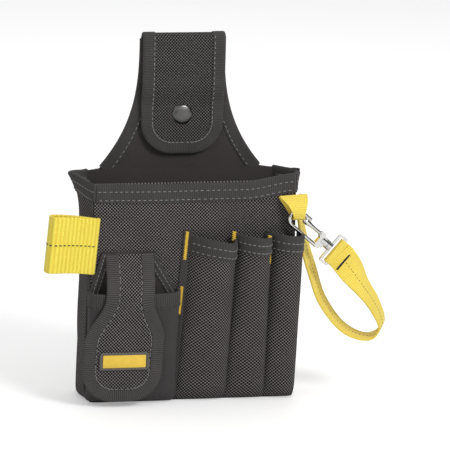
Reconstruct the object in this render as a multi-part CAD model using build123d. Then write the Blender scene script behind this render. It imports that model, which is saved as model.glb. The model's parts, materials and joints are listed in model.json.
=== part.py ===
from build123d import *
import os
from math import cos, radians, sin

# Electrician's tool pouch worn on a belt. Millimetres, +Z up, front towards -Y.
# The origin is the middle of the belt tunnel behind the snap flap.

# Belt tunnel and back
TUNNEL_DEPTH = 6.0
BACK_THICK = 3.0
BACK_FRONT = TUNNEL_DEPTH / 2
BACK_REAR = BACK_FRONT + BACK_THICK
SKIN = 0.8
FOLD_AXIS_Z = 28.0
FOLD_RADIUS = BACK_REAR
NECK_HALF = 39.2
NECK_FLARE = 37.5
NECK_POWER = 2.85
BODY_TOP_HALF = 88.0
BODY_LOW_HALF = 93.0
MOUTH_Z = -92.0
BASE_Z = -294.0
BASE_THICK = 3.0

# Body: front panel, gussets and rim
CLOTH = 2.6
FRONT_TOP = -57.0
FRONT_LOW = -47.0
FRONT_TOP_HALF = 91.5
FRONT_LOW_HALF = 95.5
GUSSET_MID_Y = -22.0
GUSSET_TOP_X = 106.5
GUSSET_LOW_X = 97.0
RIM_HIGH = 17.0

# Belt flap and snap
FLAP_HALF = 38.6
FLAP_LOW_Z = -75.0
FLAP_CORNER = 24.0
FLAP_BINDING = 10.0
FLAP_GAP = 0.3
BELT_HOLD_Z = -18.0
SNAP_Z = -40.5
SNAP_GAP = 2.0
CAP_R = 9.2
CAP_HIGH = 2.2
SOCKET_R = 6.4
STUD_R = 2.7
POST_R = 2.0

# Driver pockets, left to right: seam x, rim height, bulge at the rim
POCKET_SEAMS = [-5.0, 39.0, 70.0, 94.5]
POCKET_RIMS = [-142.0, -139.5, -138.5]
POCKET_BULGES = [19.0, 20.0, 19.0]
POCKET_BULGE_LOW = 9.0
POCKET_WALL = 1.6
POCKET_GAP = 1.6
POCKET_BAND = 0.7
POCKET_HIGH = 15.0

# Phone pocket and its flap
PHONE_LEFT = -93.0
PHONE_RIGHT = -13.0
PHONE_RIM_Z = -191.0
PHONE_DEEP = 16.0
WING_BAND = 7.0
BOTTLE_X = -63.0
BOTTLE_TOP_Z = -158.5
BOTTLE_LOW_Z = -286.0
BOTTLE_NECK_HALF = 22.5
BOTTLE_HALF = 36.5
BOTTLE_THICK = 2.4
LABEL_WIDE = 45.0
LABEL_HIGH = 16.0
LABEL_Z = -251.0

# Webbing
TOOL_WEB = 50.8
TOOL_REACH = 44.0
TOOL_HALF_DEEP = 7.5
TOOL_TILT = 5.0
TOOL_FORWARD = 11.0
TOOL_SEAM = Vector(-88.1, -58.9, -122.5)
STRAP_WEB = 25.4
WEB_THICK = 1.8

# Snap hook: its swivel point, its plane and its size along its own axis
SWIVEL = Vector(122, -63, -150)
HOOK_TURN = 139.7
WIRE_R = 1.75
BOW_R = 7.4
BOW_CENTRE = 36.0
GATE_PIVOT = (9.0, -3.6)
GATE_TIP = 29.5
GATE_HALF = 1.5
RIVET_R = 1.2
COLLAR_R = 4.2
EYE_BAR = 11.0

os.makedirs("parts", exist_ok=True)


def save(name, solid):
    solid.label = name
    export_step(solid, f"parts/{name}.step")


def plate(curve, rear, front):
    """A flat plate from an outline in X and Z, between two depths."""
    face = make_face(Plane.XZ.offset(-rear) * curve)
    return extrude(face, amount=rear - front, dir=(0, -1, 0))


def across(points, left, right):
    """A profile in Y and Z, pulled along X."""
    face = make_face(Plane.YZ.offset(left) * Polyline(*points, close=True))
    return extrude(face, amount=right - left, dir=(1, 0, 0))


def upright(low_points, low_z, high_points, high_z):
    """A panel between a lower and an upper outline, each in X and Y."""
    low = make_face(Plane.XY.offset(low_z) * Polyline(*low_points, close=True))
    high = make_face(Plane.XY.offset(high_z) * Polyline(*high_points, close=True))
    return loft([low, high], ruled=True)


def share(z):
    """How far down the body a height lies, from 0 at the mouth to 1 at the base."""
    return (MOUTH_Z - z) / (MOUTH_Z - BASE_Z)


def front_y(z):
    """Outer face of the leaning front panel."""
    return FRONT_TOP + (FRONT_LOW - FRONT_TOP) * share(z)


def front_half(z):
    return FRONT_TOP_HALF + (FRONT_LOW_HALF - FRONT_TOP_HALF) * share(z)


def neck_half(z):
    """Half width of the back's neck, which flares towards the mouth."""
    drop = max(FOLD_AXIS_Z - z, 0) / (FOLD_AXIS_Z + 90)
    return NECK_HALF + NECK_FLARE * drop ** NECK_POWER


def neck_points(inset, low_z=-90.0, steps=8):
    """Points down the neck's right edge, moved inwards square to the edge."""
    points = []
    for step in range(steps + 1):
        z = FOLD_AXIS_Z + (low_z - FOLD_AXIS_Z) * step / steps
        slope = (neck_half(z - 0.5) - neck_half(z + 0.5)) / 1.0
        length = (1 + slope ** 2) ** 0.5
        points.append((neck_half(z) - inset / length, z - inset * slope / length))
    return points


def back_outline(inset=0.0, low_z=BASE_Z):
    """Closed outline of the back: neck, shoulders and body."""
    right = [p for p in neck_points(0) if p[1] < FOLD_AXIS_Z - inset]
    right = [(NECK_HALF - inset, FOLD_AXIS_Z - inset)] + [(x - inset, z) for x, z in right]
    top = BODY_TOP_HALF - inset
    low = BODY_LOW_HALF - inset
    edge = Spline(*right)
    side = Polyline(right[-1], (top, MOUTH_Z - inset), (low, low_z + inset))
    base = Line((low, low_z + inset), (-low, low_z + inset))
    left = [(-x, z) for x, z in right]
    left_side = Polyline((-low, low_z + inset), (-top, MOUTH_Z - inset), left[-1])
    left_edge = Spline(*reversed(left))
    lid = Line(left[0], right[0])
    return edge + side + base + left_side + left_edge + lid


def bored(solid, radius, rear, front):
    hole = Cylinder(radius, rear - front, align=(Align.CENTER, Align.CENTER, Align.MIN))
    return solid - Pos(0, rear, SNAP_Z) * Rot(X=90) * hole


def disc(radius, rear, front):
    turned = Cylinder(radius, rear - front, align=(Align.CENTER, Align.CENTER, Align.MIN))
    return Pos(0, rear, SNAP_Z) * Rot(X=90) * turned


def make_back():
    lining_rear = BACK_FRONT + 0.6
    board_rear = lining_rear + 1.0
    skin = plate(back_outline(), BACK_REAR, board_rear)
    skin = bored(bored(skin, POST_R + 0.1, BACK_REAR, board_rear), 6.1, BACK_REAR, BACK_REAR - 0.8)
    board = bored(plate(back_outline(5.0), board_rear, lining_rear), POST_R + 0.1, board_rear, lining_rear)
    lining = bored(plate(back_outline(), lining_rear, BACK_FRONT), POST_R + 0.1, lining_rear, BACK_FRONT)
    save("back_panel", skin)
    save("back_stiffener", board)
    save("back_lining", lining)


def make_neck_bindings():
    outer = neck_points(-SKIN)
    inner = neck_points(10.0)
    for side, sign in (("left", -1), ("right", 1)):
        far = [(sign * x, z) for x, z in outer]
        near = [(sign * x, z) for x, z in inner]
        band = Spline(*far) + Line(far[-1], near[-1]) + Spline(*reversed(near)) + Line(near[0], far[0])
        body = plate(band, BACK_FRONT, BACK_FRONT - SKIN)
        edge_near = [(sign * x, z) for x, z in neck_points(0)]
        lip = Spline(*far) + Line(far[-1], edge_near[-1]) + Spline(*reversed(edge_near))
        lip = lip + Line(edge_near[0], far[0])
        save(f"neck_binding_{side}", body + plate(lip, BACK_REAR, BACK_FRONT))


def make_fold():
    ring = Cylinder(FOLD_RADIUS, 2 * FLAP_HALF) - Cylinder(FOLD_RADIUS - BACK_THICK, 2 * FLAP_HALF)
    ring = Pos(0, 0, FOLD_AXIS_Z) * Rot(Y=90) * ring
    keep = Box(100, 20, 10, align=(Align.CENTER, Align.CENTER, Align.MIN))
    save("belt_fold", ring & Pos(0, 0, FOLD_AXIS_Z) * keep)


def gusset(sign, thick=CLOTH):
    """A side panel creased outwards down its middle."""
    outlines = []
    for z in (BASE_Z + BASE_THICK, MOUTH_Z):
        part = share(z)
        back = BODY_TOP_HALF + (BODY_LOW_HALF - BODY_TOP_HALF) * part
        middle = GUSSET_TOP_X + (GUSSET_LOW_X - GUSSET_TOP_X) * part
        front = front_half(z) - thick
        points = [
            (back, BACK_FRONT), (middle, GUSSET_MID_Y), (front + thick, front_y(z) + CLOTH),
            (front - 0.4, front_y(z) + CLOTH), (middle - thick, GUSSET_MID_Y), (back - thick, BACK_FRONT),
        ]
        outlines.append([(sign * x, y) for x, y in points])
    return upright(outlines[0], BASE_Z + BASE_THICK, outlines[1], MOUTH_Z)


def make_body():
    low = BASE_Z + BASE_THICK
    half_low = front_half(low)
    outlines = []
    for z, half in ((low, half_low), (MOUTH_Z, FRONT_TOP_HALF)):
        outer = front_y(z)
        outlines.append([(-half, outer), (half, outer), (half, outer + CLOTH), (-half, outer + CLOTH)])
    save("front_panel", upright(outlines[0], low, outlines[1], MOUTH_Z))
    save("left_gusset", gusset(-1))
    save("right_gusset", gusset(1))
    corners = [
        (-BODY_LOW_HALF, BACK_FRONT), (BODY_LOW_HALF, BACK_FRONT), (GUSSET_LOW_X, GUSSET_MID_Y),
        (FRONT_LOW_HALF, FRONT_LOW), (-FRONT_LOW_HALF, FRONT_LOW), (-GUSSET_LOW_X, GUSSET_MID_Y),
    ]
    face = make_face(Plane.XY.offset(BASE_Z) * Polyline(*corners, close=True))
    save("base_panel", extrude(face, amount=BASE_THICK, dir=(0, 0, 1)))


def make_rim():
    """Binding folded over the mouth: a front length and one on each gusset."""
    low = MOUTH_Z - RIM_HIGH
    top_y = front_y(MOUTH_Z)
    low_y = front_y(low)
    outside = across([(top_y, MOUTH_Z), (top_y - SKIN, MOUTH_Z + SKIN), (low_y - SKIN, low), (low_y, low)],
                     -FRONT_TOP_HALF, FRONT_TOP_HALF)
    lid = across([(top_y, MOUTH_Z), (top_y - SKIN, MOUTH_Z + SKIN), (top_y + CLOTH + SKIN, MOUTH_Z + SKIN),
                  (top_y + CLOTH + SKIN, MOUTH_Z)], -FRONT_TOP_HALF + 4, FRONT_TOP_HALF - 4)
    inside = across([(top_y + CLOTH, MOUTH_Z), (top_y + CLOTH + SKIN, MOUTH_Z),
                     (low_y + CLOTH + SKIN, low), (low_y + CLOTH, low)],
                    -FRONT_TOP_HALF + 6, FRONT_TOP_HALF - 6)
    save("rim_binding_front", outside + lid + inside)
    for side, sign in (("left", -1), ("right", 1)):
        outlines = []
        for z in (low, MOUTH_Z + SKIN):
            part = share(z)
            back = BODY_TOP_HALF + (BODY_LOW_HALF - BODY_TOP_HALF) * part
            middle = GUSSET_TOP_X + (GUSSET_LOW_X - GUSSET_TOP_X) * part
            front = front_half(z)
            points = [
                (back + 0.1, BACK_FRONT), (back + SKIN + 0.1, BACK_FRONT), (middle + SKIN, GUSSET_MID_Y),
                (front + SKIN, front_y(z) + CLOTH), (front + 0.1, front_y(z) + CLOTH), (middle, GUSSET_MID_Y),
            ]
            outlines.append([(sign * x, y) for x, y in points])
        save(f"rim_binding_{side}", upright(outlines[0], low, outlines[1], MOUTH_Z + SKIN))


def flap_profile(thick):
    """Side profile of the belt flap: straight over the belt, then in to the snap."""
    top = FOLD_AXIS_Z - FLAP_GAP
    out = -FOLD_RADIUS
    close = BACK_FRONT - SNAP_GAP - thick
    outer = [(out, top), (out, BELT_HOLD_Z), (close, SNAP_Z + 10), (close, FLAP_LOW_Z - 1)]
    return outer + [(y + thick, z) for y, z in reversed(outer)]


def u_outline(half, top, low, corner):
    straight = Line((-half, top), (half, top)) + Line((half, top), (half, low + corner))
    turn = RadiusArc((half, low + corner), (half - corner, low), corner, short_sagitta=True)
    other = RadiusArc((-half + corner, low), (-half, low + corner), corner, short_sagitta=True)
    return straight + turn + Line((half - corner, low), (-half + corner, low)) + other + Line(
        (-half, low + corner), (-half, top))


def make_belt_flap():
    whole = across(flap_profile(CLOTH), -FLAP_HALF, FLAP_HALF)
    inside = plate(u_outline(FLAP_HALF - 1.0, 40, FLAP_LOW_Z + 1.0, FLAP_CORNER), 10, -20)
    panel = whole & inside
    close = BACK_FRONT - SNAP_GAP
    save("belt_flap_panel", bored(panel, 3.3, close, close - CLOTH))
    skin = across([(y - SKIN if i < 4 else y - CLOTH, z) for i, (y, z) in enumerate(flap_profile(CLOTH))],
                  -FLAP_HALF, FLAP_HALF)
    outer = plate(u_outline(FLAP_HALF, 40, FLAP_LOW_Z, FLAP_CORNER), 10, -20)
    hollow = plate(u_outline(FLAP_HALF - FLAP_BINDING, 41, FLAP_LOW_Z + FLAP_BINDING, FLAP_CORNER - 8), 10, -20)
    rim = (whole & outer) - inside
    save("belt_flap_binding", ((skin & outer) - hollow) + rim)


def make_snap():
    close = BACK_FRONT - SNAP_GAP
    outer = close - CLOTH
    cap = disc(CAP_R, outer, outer - CAP_HIGH)
    cap = fillet(cap.edges().filter_by(GeomType.CIRCLE).sort_by(Axis.Y)[0], 1.6)
    stem = disc(3.1, close, outer) - disc(2.9, close, outer + 0.6)
    save("snap_cap", cap + stem)
    socket = disc(SOCKET_R, BACK_FRONT - 0.4, close) - disc(STUD_R + 0.4, BACK_FRONT, close - 1)
    save("snap_socket", socket)
    lining_rear = BACK_FRONT + 0.6
    stud = disc(STUD_R, BACK_FRONT, close + 0.2) - disc(POST_R - 0.5, BACK_FRONT, BACK_FRONT - 0.9)
    stud = stud - disc(POST_R - 0.5, lining_rear, BACK_FRONT - 0.9)
    save("snap_stud", stud)
    post = disc(6.0, BACK_REAR, BACK_REAR - 0.7) + disc(POST_R, BACK_REAR, BACK_FRONT)
    save("snap_post", post + disc(POST_R - 0.5, BACK_REAR, BACK_FRONT - 0.9))


def tube_section(left, right, base_y, bulge, shrink, z, closed=False):
    """Outline of a pocket: short straight sides and a round front, at one height."""
    half = (right - left) / 2 - shrink
    middle = (left + right) / 2
    deep = bulge - shrink
    side = max(deep - half, deep * 0.25)
    arc = ThreePointArc((middle - half, base_y - side), (middle, base_y - deep), (middle + half, base_y - side))
    legs = Line((middle - half, base_y), (middle - half, base_y - side))
    legs = legs + arc + Line((middle + half, base_y - side), (middle + half, base_y))
    if closed:
        return make_face(Plane.XY.offset(z) * (legs + Line((middle + half, base_y), (middle - half, base_y))))
    return legs


def pocket_solid(left, right, low, high, bulge_low, bulge_high, shrink):
    sections = []
    for z, bulge in ((low, bulge_low), (high, bulge_high)):
        sections.append(tube_section(left, right, front_y(z), bulge, shrink, z, closed=True))
    return loft(sections, ruled=True)


def make_driver_pockets():
    low = BASE_Z + 1.0
    for index in range(3):
        left = POCKET_SEAMS[index] + POCKET_GAP
        right = POCKET_SEAMS[index + 1] - POCKET_GAP
        rim = POCKET_RIMS[index]
        bulge = POCKET_BULGES[index]
        outer = pocket_solid(left, right, low, rim, POCKET_BULGE_LOW, bulge, 0)
        inner = pocket_solid(left, right, low, rim, POCKET_BULGE_LOW, bulge, POCKET_WALL)
        cut = inner - Pos(0, 0, low) * Box(400, 400, 2 * POCKET_WALL)
        save(f"driver_pocket_{index + 1}", outer - cut)
        wider = pocket_solid(left, right, low, rim, POCKET_BULGE_LOW, bulge, -POCKET_BAND)
        keep = Pos(0, 0, rim) * Box(400, 400, 2 * POCKET_HIGH)
        save(f"driver_pocket_rim_{index + 1}", (wider & keep) - outer)


def make_trims():
    marks = [(POCKET_SEAMS[0], -140.0, 24.0), (POCKET_SEAMS[0], -188.0, 24.0),
             (POCKET_SEAMS[1], -136.0, 9.0), (POCKET_SEAMS[2], -139.0, 24.0)]
    tacks = []
    for x, top, high in marks:
        low = top - high
        tacks.append(across([(front_y(top), top), (front_y(top) - 1.0, top), (front_y(low) - 1.0, low),
                             (front_y(low), low)], x - 0.8, x + 0.8))
    save("bar_tacks", Compound(children=tacks))
    low = BASE_Z + BASE_THICK
    strip = across([(front_y(-138), -138), (front_y(-138) - 1.2, -138), (front_y(low) - 1.2, low),
                    (front_y(low), low)], POCKET_SEAMS[0] - 6.5, POCKET_SEAMS[0] - 1.2)
    save("divider_binding", strip)
    for side, sign in (("left", -1), ("right", 1)):
        top = MOUTH_Z - RIM_HIGH
        start = Vector(sign * (front_half(top) + 0.9), front_y(top) + 1.3, top)
        end = Vector(sign * (front_half(low) + 0.9), front_y(low) + 1.3, low)
        path = Line(start, end)
        circle = Plane(origin=start, z_dir=end - start) * Circle(0.9)
        save(f"side_piping_{side}", sweep(circle, path=path))
    save("base_hem", across([(FRONT_LOW, BASE_Z), (FRONT_LOW - 1.2, BASE_Z), (front_y(BASE_Z + 8) - 1.2, BASE_Z + 8),
                             (front_y(BASE_Z + 8), BASE_Z + 8)], PHONE_LEFT, POCKET_SEAMS[0] - 7))


def phone_y(z):
    """Outer face of the phone pocket."""
    return front_y(z) - PHONE_DEEP


def make_phone_pocket():
    low = BASE_Z + 8.5
    rim = PHONE_RIM_Z
    back_top = BOTTLE_TOP_Z
    wing = Polyline((PHONE_LEFT, low), (PHONE_RIGHT, low), (PHONE_RIGHT, rim),
                    (BOTTLE_X + BOTTLE_NECK_HALF, back_top), (BOTTLE_X - BOTTLE_NECK_HALF, back_top),
                    (PHONE_LEFT, rim), close=True)
    lean = across([(front_y(back_top), back_top), (front_y(back_top) - 1.4, back_top),
                   (front_y(low) - 1.4, low), (front_y(low), low)], PHONE_LEFT, PHONE_RIGHT)
    save("phone_pocket_back", lean & plate(wing, -20, -90))
    for side, sign in (("left", -1), ("right", 1)):
        foot = PHONE_LEFT if sign < 0 else PHONE_RIGHT
        head = BOTTLE_X + sign * BOTTLE_NECK_HALF
        run = WING_BAND * ((foot - head) ** 2 + (back_top - rim) ** 2) ** 0.5 / (back_top - rim)
        band = Polyline((foot, rim), (head, back_top), (head - sign * run, back_top), (foot - sign * run, rim),
                        close=True)
        skin = across([(front_y(back_top) - 1.4, back_top), (front_y(back_top) - 2.0, back_top),
                       (front_y(rim) - 2.0, rim), (front_y(rim) - 1.4, rim)], PHONE_LEFT, PHONE_RIGHT)
        save(f"wing_binding_{side}", skin & plate(band, -20, -90))
    sections = []
    for z in (low, rim):
        rear = front_y(z) - 1.4
        front = phone_y(z)
        points = [(PHONE_LEFT, rear), (PHONE_LEFT + 3, front), (PHONE_RIGHT - 3, front), (PHONE_RIGHT, rear)]
        wall = POCKET_WALL
        hole = [(PHONE_LEFT + wall, rear), (PHONE_LEFT + 3 + wall, front + wall),
                (PHONE_RIGHT - 3 - wall, front + wall), (PHONE_RIGHT - wall, rear)]
        sections.append((points, hole, z))
    (low_out, low_in, low_z), (top_out, top_in, top_z) = sections
    shell = upright(low_out, low_z, top_out, top_z)
    cut = upright(low_in, low_z, top_in, top_z) - Pos(0, 0, low_z) * Box(400, 400, 2 * POCKET_WALL)
    save("phone_pocket", shell - cut)
    rim_face = phone_y(rim)
    band_low = rim - 13
    save("phone_pocket_rim", across([(rim_face, rim), (rim_face - SKIN, rim), (phone_y(band_low) - SKIN, band_low),
                                     (phone_y(band_low), band_low)], PHONE_LEFT + 3, PHONE_RIGHT - 3))
    patch_top = -222.0
    patch_low = -262.0
    save("hook_patch", across([(phone_y(patch_top), patch_top), (phone_y(patch_top) - 0.8, patch_top),
                               (phone_y(patch_low) - 0.8, patch_low), (phone_y(patch_low), patch_low)],
                              BOTTLE_X - 20, BOTTLE_X + 20))


def bottle_outline(inset, top):
    """Closed outline of the pocket flap: narrow neck, flared round foot."""
    neck = BOTTLE_NECK_HALF - inset
    wide = BOTTLE_HALF - inset
    low = BOTTLE_LOW_Z + inset
    corner = 26.0 - inset
    right = Spline((neck, -186), (neck + 5, -205), (wide, -232), tangents=((0, -1), (0, -1)))
    curve = Line((-neck, top), (neck, top)) + Line((neck, top), (neck, -186)) + right
    curve = curve + Line((wide, -232), (wide, low + corner))
    curve = curve + RadiusArc((wide, low + corner), (wide - corner, low), corner, short_sagitta=True)
    curve = curve + Line((wide - corner, low), (corner - wide, low))
    curve = curve + RadiusArc((corner - wide, low), (-wide, low + corner), corner, short_sagitta=True)
    curve = curve + Line((-wide, low + corner), (-wide, -232))
    left = Spline((-wide, -232), (-neck - 5, -205), (-neck, -186), tangents=((0, 1), (0, 1)))
    return Pos(BOTTLE_X, 0) * (curve + left + Line((-neck, -186), (-neck, top)))


def bottle_profile(thick, lift):
    """Side profile of the pocket flap, from its fold out over the pocket and down."""
    fold = front_y(BOTTLE_TOP_Z) - 1.4 - 0.8 - BOTTLE_THICK
    top = BOTTLE_TOP_Z - FLAP_GAP
    outer = [(fold, top), (phone_y(PHONE_RIM_Z) - 1.8 - BOTTLE_THICK, PHONE_RIM_Z + 6),
             (phone_y(PHONE_RIM_Z - 14) - 2.0 - BOTTLE_THICK, PHONE_RIM_Z - 14),
             (phone_y(BOTTLE_LOW_Z - 1) - 2.0 - BOTTLE_THICK, BOTTLE_LOW_Z - 1)]
    return [(y - lift, z) for y, z in outer] + [(y - lift + thick, z) for y, z in reversed(outer)]


def make_pocket_flap():
    left = BOTTLE_X - BOTTLE_HALF - 1
    right = BOTTLE_X + BOTTLE_HALF + 1
    whole = across(bottle_profile(BOTTLE_THICK, 0), left, right)
    inside = plate(bottle_outline(1.0, -150), -40, -90)
    outer = plate(bottle_outline(0, -150), -40, -90)
    save("pocket_flap_panel", whole & inside)
    skin = across(bottle_profile(SKIN, SKIN), left, right)
    hollow = plate(bottle_outline(9.0, -149), -40, -90)
    save("pocket_flap_binding", (whole & outer - inside) + ((skin & outer) - hollow))
    lean = front_y(LABEL_Z - 1) - front_y(LABEL_Z)
    face = phone_y(LABEL_Z) - 2.0 - BOTTLE_THICK - 0.02
    place = Plane(origin=(BOTTLE_X, face, LABEL_Z), x_dir=(1, 0, 0), z_dir=(0, -1, -lean))
    place = place * Rot(Z=-2.5)
    frame = extrude(RectangleRounded(LABEL_WIDE, LABEL_HIGH, 2.5) - Rectangle(39, 12), amount=1.0)
    save("label_frame", place * frame)
    save("label_plate", place * extrude(Rectangle(39, 12), amount=0.6))
    patch_top = -222.0
    patch_low = -262.0
    save("loop_patch", across([(phone_y(patch_top) - 1.2, patch_top), (phone_y(patch_top) - 2.0, patch_top),
                               (phone_y(patch_low) - 2.0, patch_low), (phone_y(patch_low) - 1.2, patch_low)],
                              BOTTLE_X - 20, BOTTLE_X + 20))
    fold_rear = front_y(BOTTLE_TOP_Z) - 0.1
    fold_front = front_y(BOTTLE_TOP_Z) - 1.4 - 0.8 - BOTTLE_THICK
    radius = (fold_rear - fold_front) / 2
    arch = Pos(BOTTLE_X, (fold_rear + fold_front) / 2, BOTTLE_TOP_Z) * Rot(Y=90) * Cylinder(
        radius, 2 * BOTTLE_NECK_HALF)
    keep = Box(200, 20, 10, align=(Align.CENTER, Align.CENTER, Align.MIN))
    save("pocket_flap_fold", arch & Pos(BOTTLE_X, fold_front + radius, BOTTLE_TOP_Z) * keep)


def loop_face(reach, half, grow):
    """Plan of a webbing loop: a seam at the origin and a round end out along -X."""
    radius = half + grow
    seam = 2.2 + grow
    round_x = -reach + half
    curve = Line((0, -seam), (round_x, -radius))
    curve = curve + ThreePointArc((round_x, -radius), (round_x - radius, 0), (round_x, radius))
    return make_face(curve + Line((round_x, radius), (0, seam)) + Line((0, seam), (0, -seam)))


def make_tool_loop():
    ring = loop_face(TOOL_REACH, TOOL_HALF_DEEP, 0) - Pos(-1.2, 0) * loop_face(TOOL_REACH - 3, TOOL_HALF_DEEP,
                                                                               -WEB_THICK)
    loop = Pos(0, 0, -TOOL_WEB) * extrude(ring, amount=TOOL_WEB)
    save("tool_loop", Pos(TOOL_SEAM) * Rot(Y=TOOL_TILT) * Rot(Z=TOOL_FORWARD) * loop)


def make_keeper():
    """Webbing loop under the rim that the hook's bow passes through."""
    bow = SWIVEL + Vector(cos(radians(HOOK_TURN)), 0, sin(radians(HOOK_TURN))) * BOW_CENTRE
    top = MOUTH_Z - RIM_HIGH - 0.2
    face = front_y(top) - 0.2
    inner = 3.9
    outer = inner + 1.4
    low = bow.Z + 4.5

    def loop(radius, head_z, back_y, front_y_top, shoulder):
        curve = Line((back_y, head_z), (bow.Y + radius, low))
        curve = curve + ThreePointArc((bow.Y + radius, low), (bow.Y, low - radius), (bow.Y - radius, low))
        curve = curve + Polyline((bow.Y - radius, low), (bow.Y - radius, shoulder), (front_y_top, head_z))
        return make_face(Plane.YZ.offset(bow.X - 4.5) * (curve + Line((front_y_top, head_z), (back_y, head_z))))

    ring = loop(outer, top, face, face - 5.0, top - 2.4) - loop(inner, top - 1.5, face - 1.45, face - 4.6, top - 3.6)
    save("keeper_loop", extrude(ring, amount=9.0, dir=(1, 0, 0)))


STRAP_ROUTE = [
    (133.55, -63.95, -159.8, 0), (135.5, -63.95, -161.45, 0), (139.5, -63.95, -166.6, 0), (142.8, -63.8, -171.3, 8),
    (147.8, -63.0, -177.9, 26), (155.8, -61.5, -188.9, 46), (163.2, -59.5, -198.6, 53), (170.7, -57.0, -209.9, 58),
    (176.3, -54.0, -221.2, 64), (178.1, -51.5, -229.5, 67), (174.9, -49.0, -236.9, 75), (166.8, -47.5, -240.2, 90),
    (156.2, -46.5, -238.6, 98), (144.0, -46.0, -231.3, 106), (132.6, -45.5, -219.2, 110),
    (124.2, -45.0, -206.2, 114), (118.0, -45.0, -192.4, 116), (113.8, -45.0, -178.6, 118),
    (109.6, -45.0, -166.4, 118), (106.3, -45.0, -154.2, 116), (103.6, -44.5, -143.0, 114),
    (101.6, -44.0, -134.0, 112), (100.2, -43.5, -122.0, 110), (99.4, -43.5, -109.6, 112),
]


def strap_sections(wide, thick):
    sections = []
    last = len(STRAP_ROUTE) - 1
    for index, (x, y, z, twist) in enumerate(STRAP_ROUTE):
        before = Vector(*STRAP_ROUTE[max(index - 1, 0)][:3])
        after = Vector(*STRAP_ROUTE[min(index + 1, last)][:3])
        along = (after - before).normalized()
        side = Vector(-along.Z, 0, along.X).normalized()
        depth = along.cross(side).normalized()
        if depth.Y < 0:
            depth = depth * -1
        width = side * cos(radians(twist)) + depth * sin(radians(twist))
        place = Plane(origin=(x, y, z), x_dir=width, z_dir=along)
        sections.append(place * Rectangle(wide, thick))
    return sections


def make_strap():
    save("tape_strap", loft(strap_sections(STRAP_WEB, WEB_THICK), ruled=True))


def hook_place():
    """Plane of the hook: local X runs from the swivel to the nose."""
    along = Vector(cos(radians(HOOK_TURN)), 0, sin(radians(HOOK_TURN)))
    return Plane(origin=SWIVEL, x_dir=along, z_dir=(0, -1, 0))


def make_hook():
    place = hook_place()
    spine = Line((7.5, BOW_R), (BOW_CENTRE, BOW_R))
    nose = ThreePointArc((BOW_CENTRE, BOW_R), (BOW_CENTRE + BOW_R, 0), (BOW_CENTRE, -BOW_R))
    tip = Line((BOW_CENTRE, -BOW_R), (GATE_TIP - 2.5, -BOW_R))
    start = Plane(origin=(7.5, BOW_R, 0), z_dir=(1, 0, 0))
    wire = sweep(start * Circle(WIRE_R), path=spine + nose + tip)
    wire = wire + Pos(7.5, BOW_R, 0) * Sphere(WIRE_R) + Pos(GATE_TIP - 2.5, -BOW_R, 0) * Sphere(WIRE_R)
    collar = Pos(0.5, 0, 0) * Rot(Y=90) * Cylinder(COLLAR_R, 6.5, align=(Align.CENTER, Align.CENTER, Align.MIN))
    ear = Pos(GATE_PIVOT[0], GATE_PIVOT[1], 0) * Cylinder(3.0, 6.6)
    bridge = Pos(6.5, 1.5, 0) * Box(7, 10.2, 6.6) + Pos(6.6, 6.0, 0) * Box(5, 5, 3.5)
    body = wire + collar + ear + bridge
    slot = Pos(GATE_PIVOT[0], GATE_PIVOT[1], 0) * Cylinder(3.4, 3.8)
    slot = slot + Pos(GATE_PIVOT[0] + 8, GATE_PIVOT[1], 0) * Box(16, 6.8, 3.8)
    bore = Pos(-1, 0, 0) * Rot(Y=90) * Cylinder(POST_R + 0.05, 5.5, align=(Align.CENTER, Align.CENTER, Align.MIN))
    head = Pos(3.4, 0, 0) * Rot(Y=90) * Cylinder(2.9, 2.0, align=(Align.CENTER, Align.CENTER, Align.MIN))
    rivet_hole = Pos(GATE_PIVOT[0], GATE_PIVOT[1], 0) * Cylinder(RIVET_R, 8)
    save("hook_body", place * (body - slot - bore - head - rivet_hole))
    rivet = Pos(GATE_PIVOT[0], GATE_PIVOT[1], 0) * Cylinder(RIVET_R, 6.6)
    heads = Pos(GATE_PIVOT[0], GATE_PIVOT[1], 3.7) * Cylinder(2.2, 0.8)
    save("gate_rivet", place * (rivet + heads + Pos(0, 0, -7.4) * heads))
    knob = Pos(GATE_PIVOT[0], GATE_PIVOT[1], 0) * Cylinder(2.8, 3.4)
    bar = Pos((GATE_PIVOT[0] + GATE_TIP) / 2, GATE_PIVOT[1], 0) * Box(GATE_TIP - GATE_PIVOT[0], 2 * GATE_HALF, 3.4)
    gate_hole = Pos(GATE_PIVOT[0], GATE_PIVOT[1], 0) * Cylinder(RIVET_R + 0.05, 8)
    save("gate_lever", place * (knob + bar - gate_hole))


def make_eye():
    place = hook_place()
    plate_solid = Pos(-8.2, 0, 0) * Box(9.6, 31, 3.4)
    plate_solid = fillet(plate_solid.edges().filter_by(Axis.Z), 2.4)
    slot = Pos(-7.6, 0, 0) * Box(4.4, 26.4, 8)
    post = Pos(-4, 0, 0) * Rot(Y=90) * Cylinder(POST_R, 7.8, align=(Align.CENTER, Align.CENTER, Align.MIN))
    cap = Pos(3.6, 0, 0) * Rot(Y=90) * Cylinder(2.7, 1.4, align=(Align.CENTER, Align.CENTER, Align.MIN))
    boss = Pos(-4.4, 0, 0) * Rot(Y=90) * Cylinder(COLLAR_R, 4.4, align=(Align.CENTER, Align.CENTER, Align.MIN))
    save("swivel_eye", place * (plate_solid - slot + boss + post + cap))
    bar_x = -EYE_BAR - 0.3
    ring = Pos(bar_x, 0, 0) * (Box(7.6, STRAP_WEB, 7.4) - Box(3.9, 60, 3.8))
    layer = Pos(bar_x - 3.8 - 3.7, 0, -0.9) * Box(7.4, STRAP_WEB, 1.6)
    save("strap_end_fold", place * (ring + layer))
    save("strap_bar_tack", place * (Pos(bar_x - 10.3, 0, 2.4) * Box(1.6, 22, 0.8)))


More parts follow.
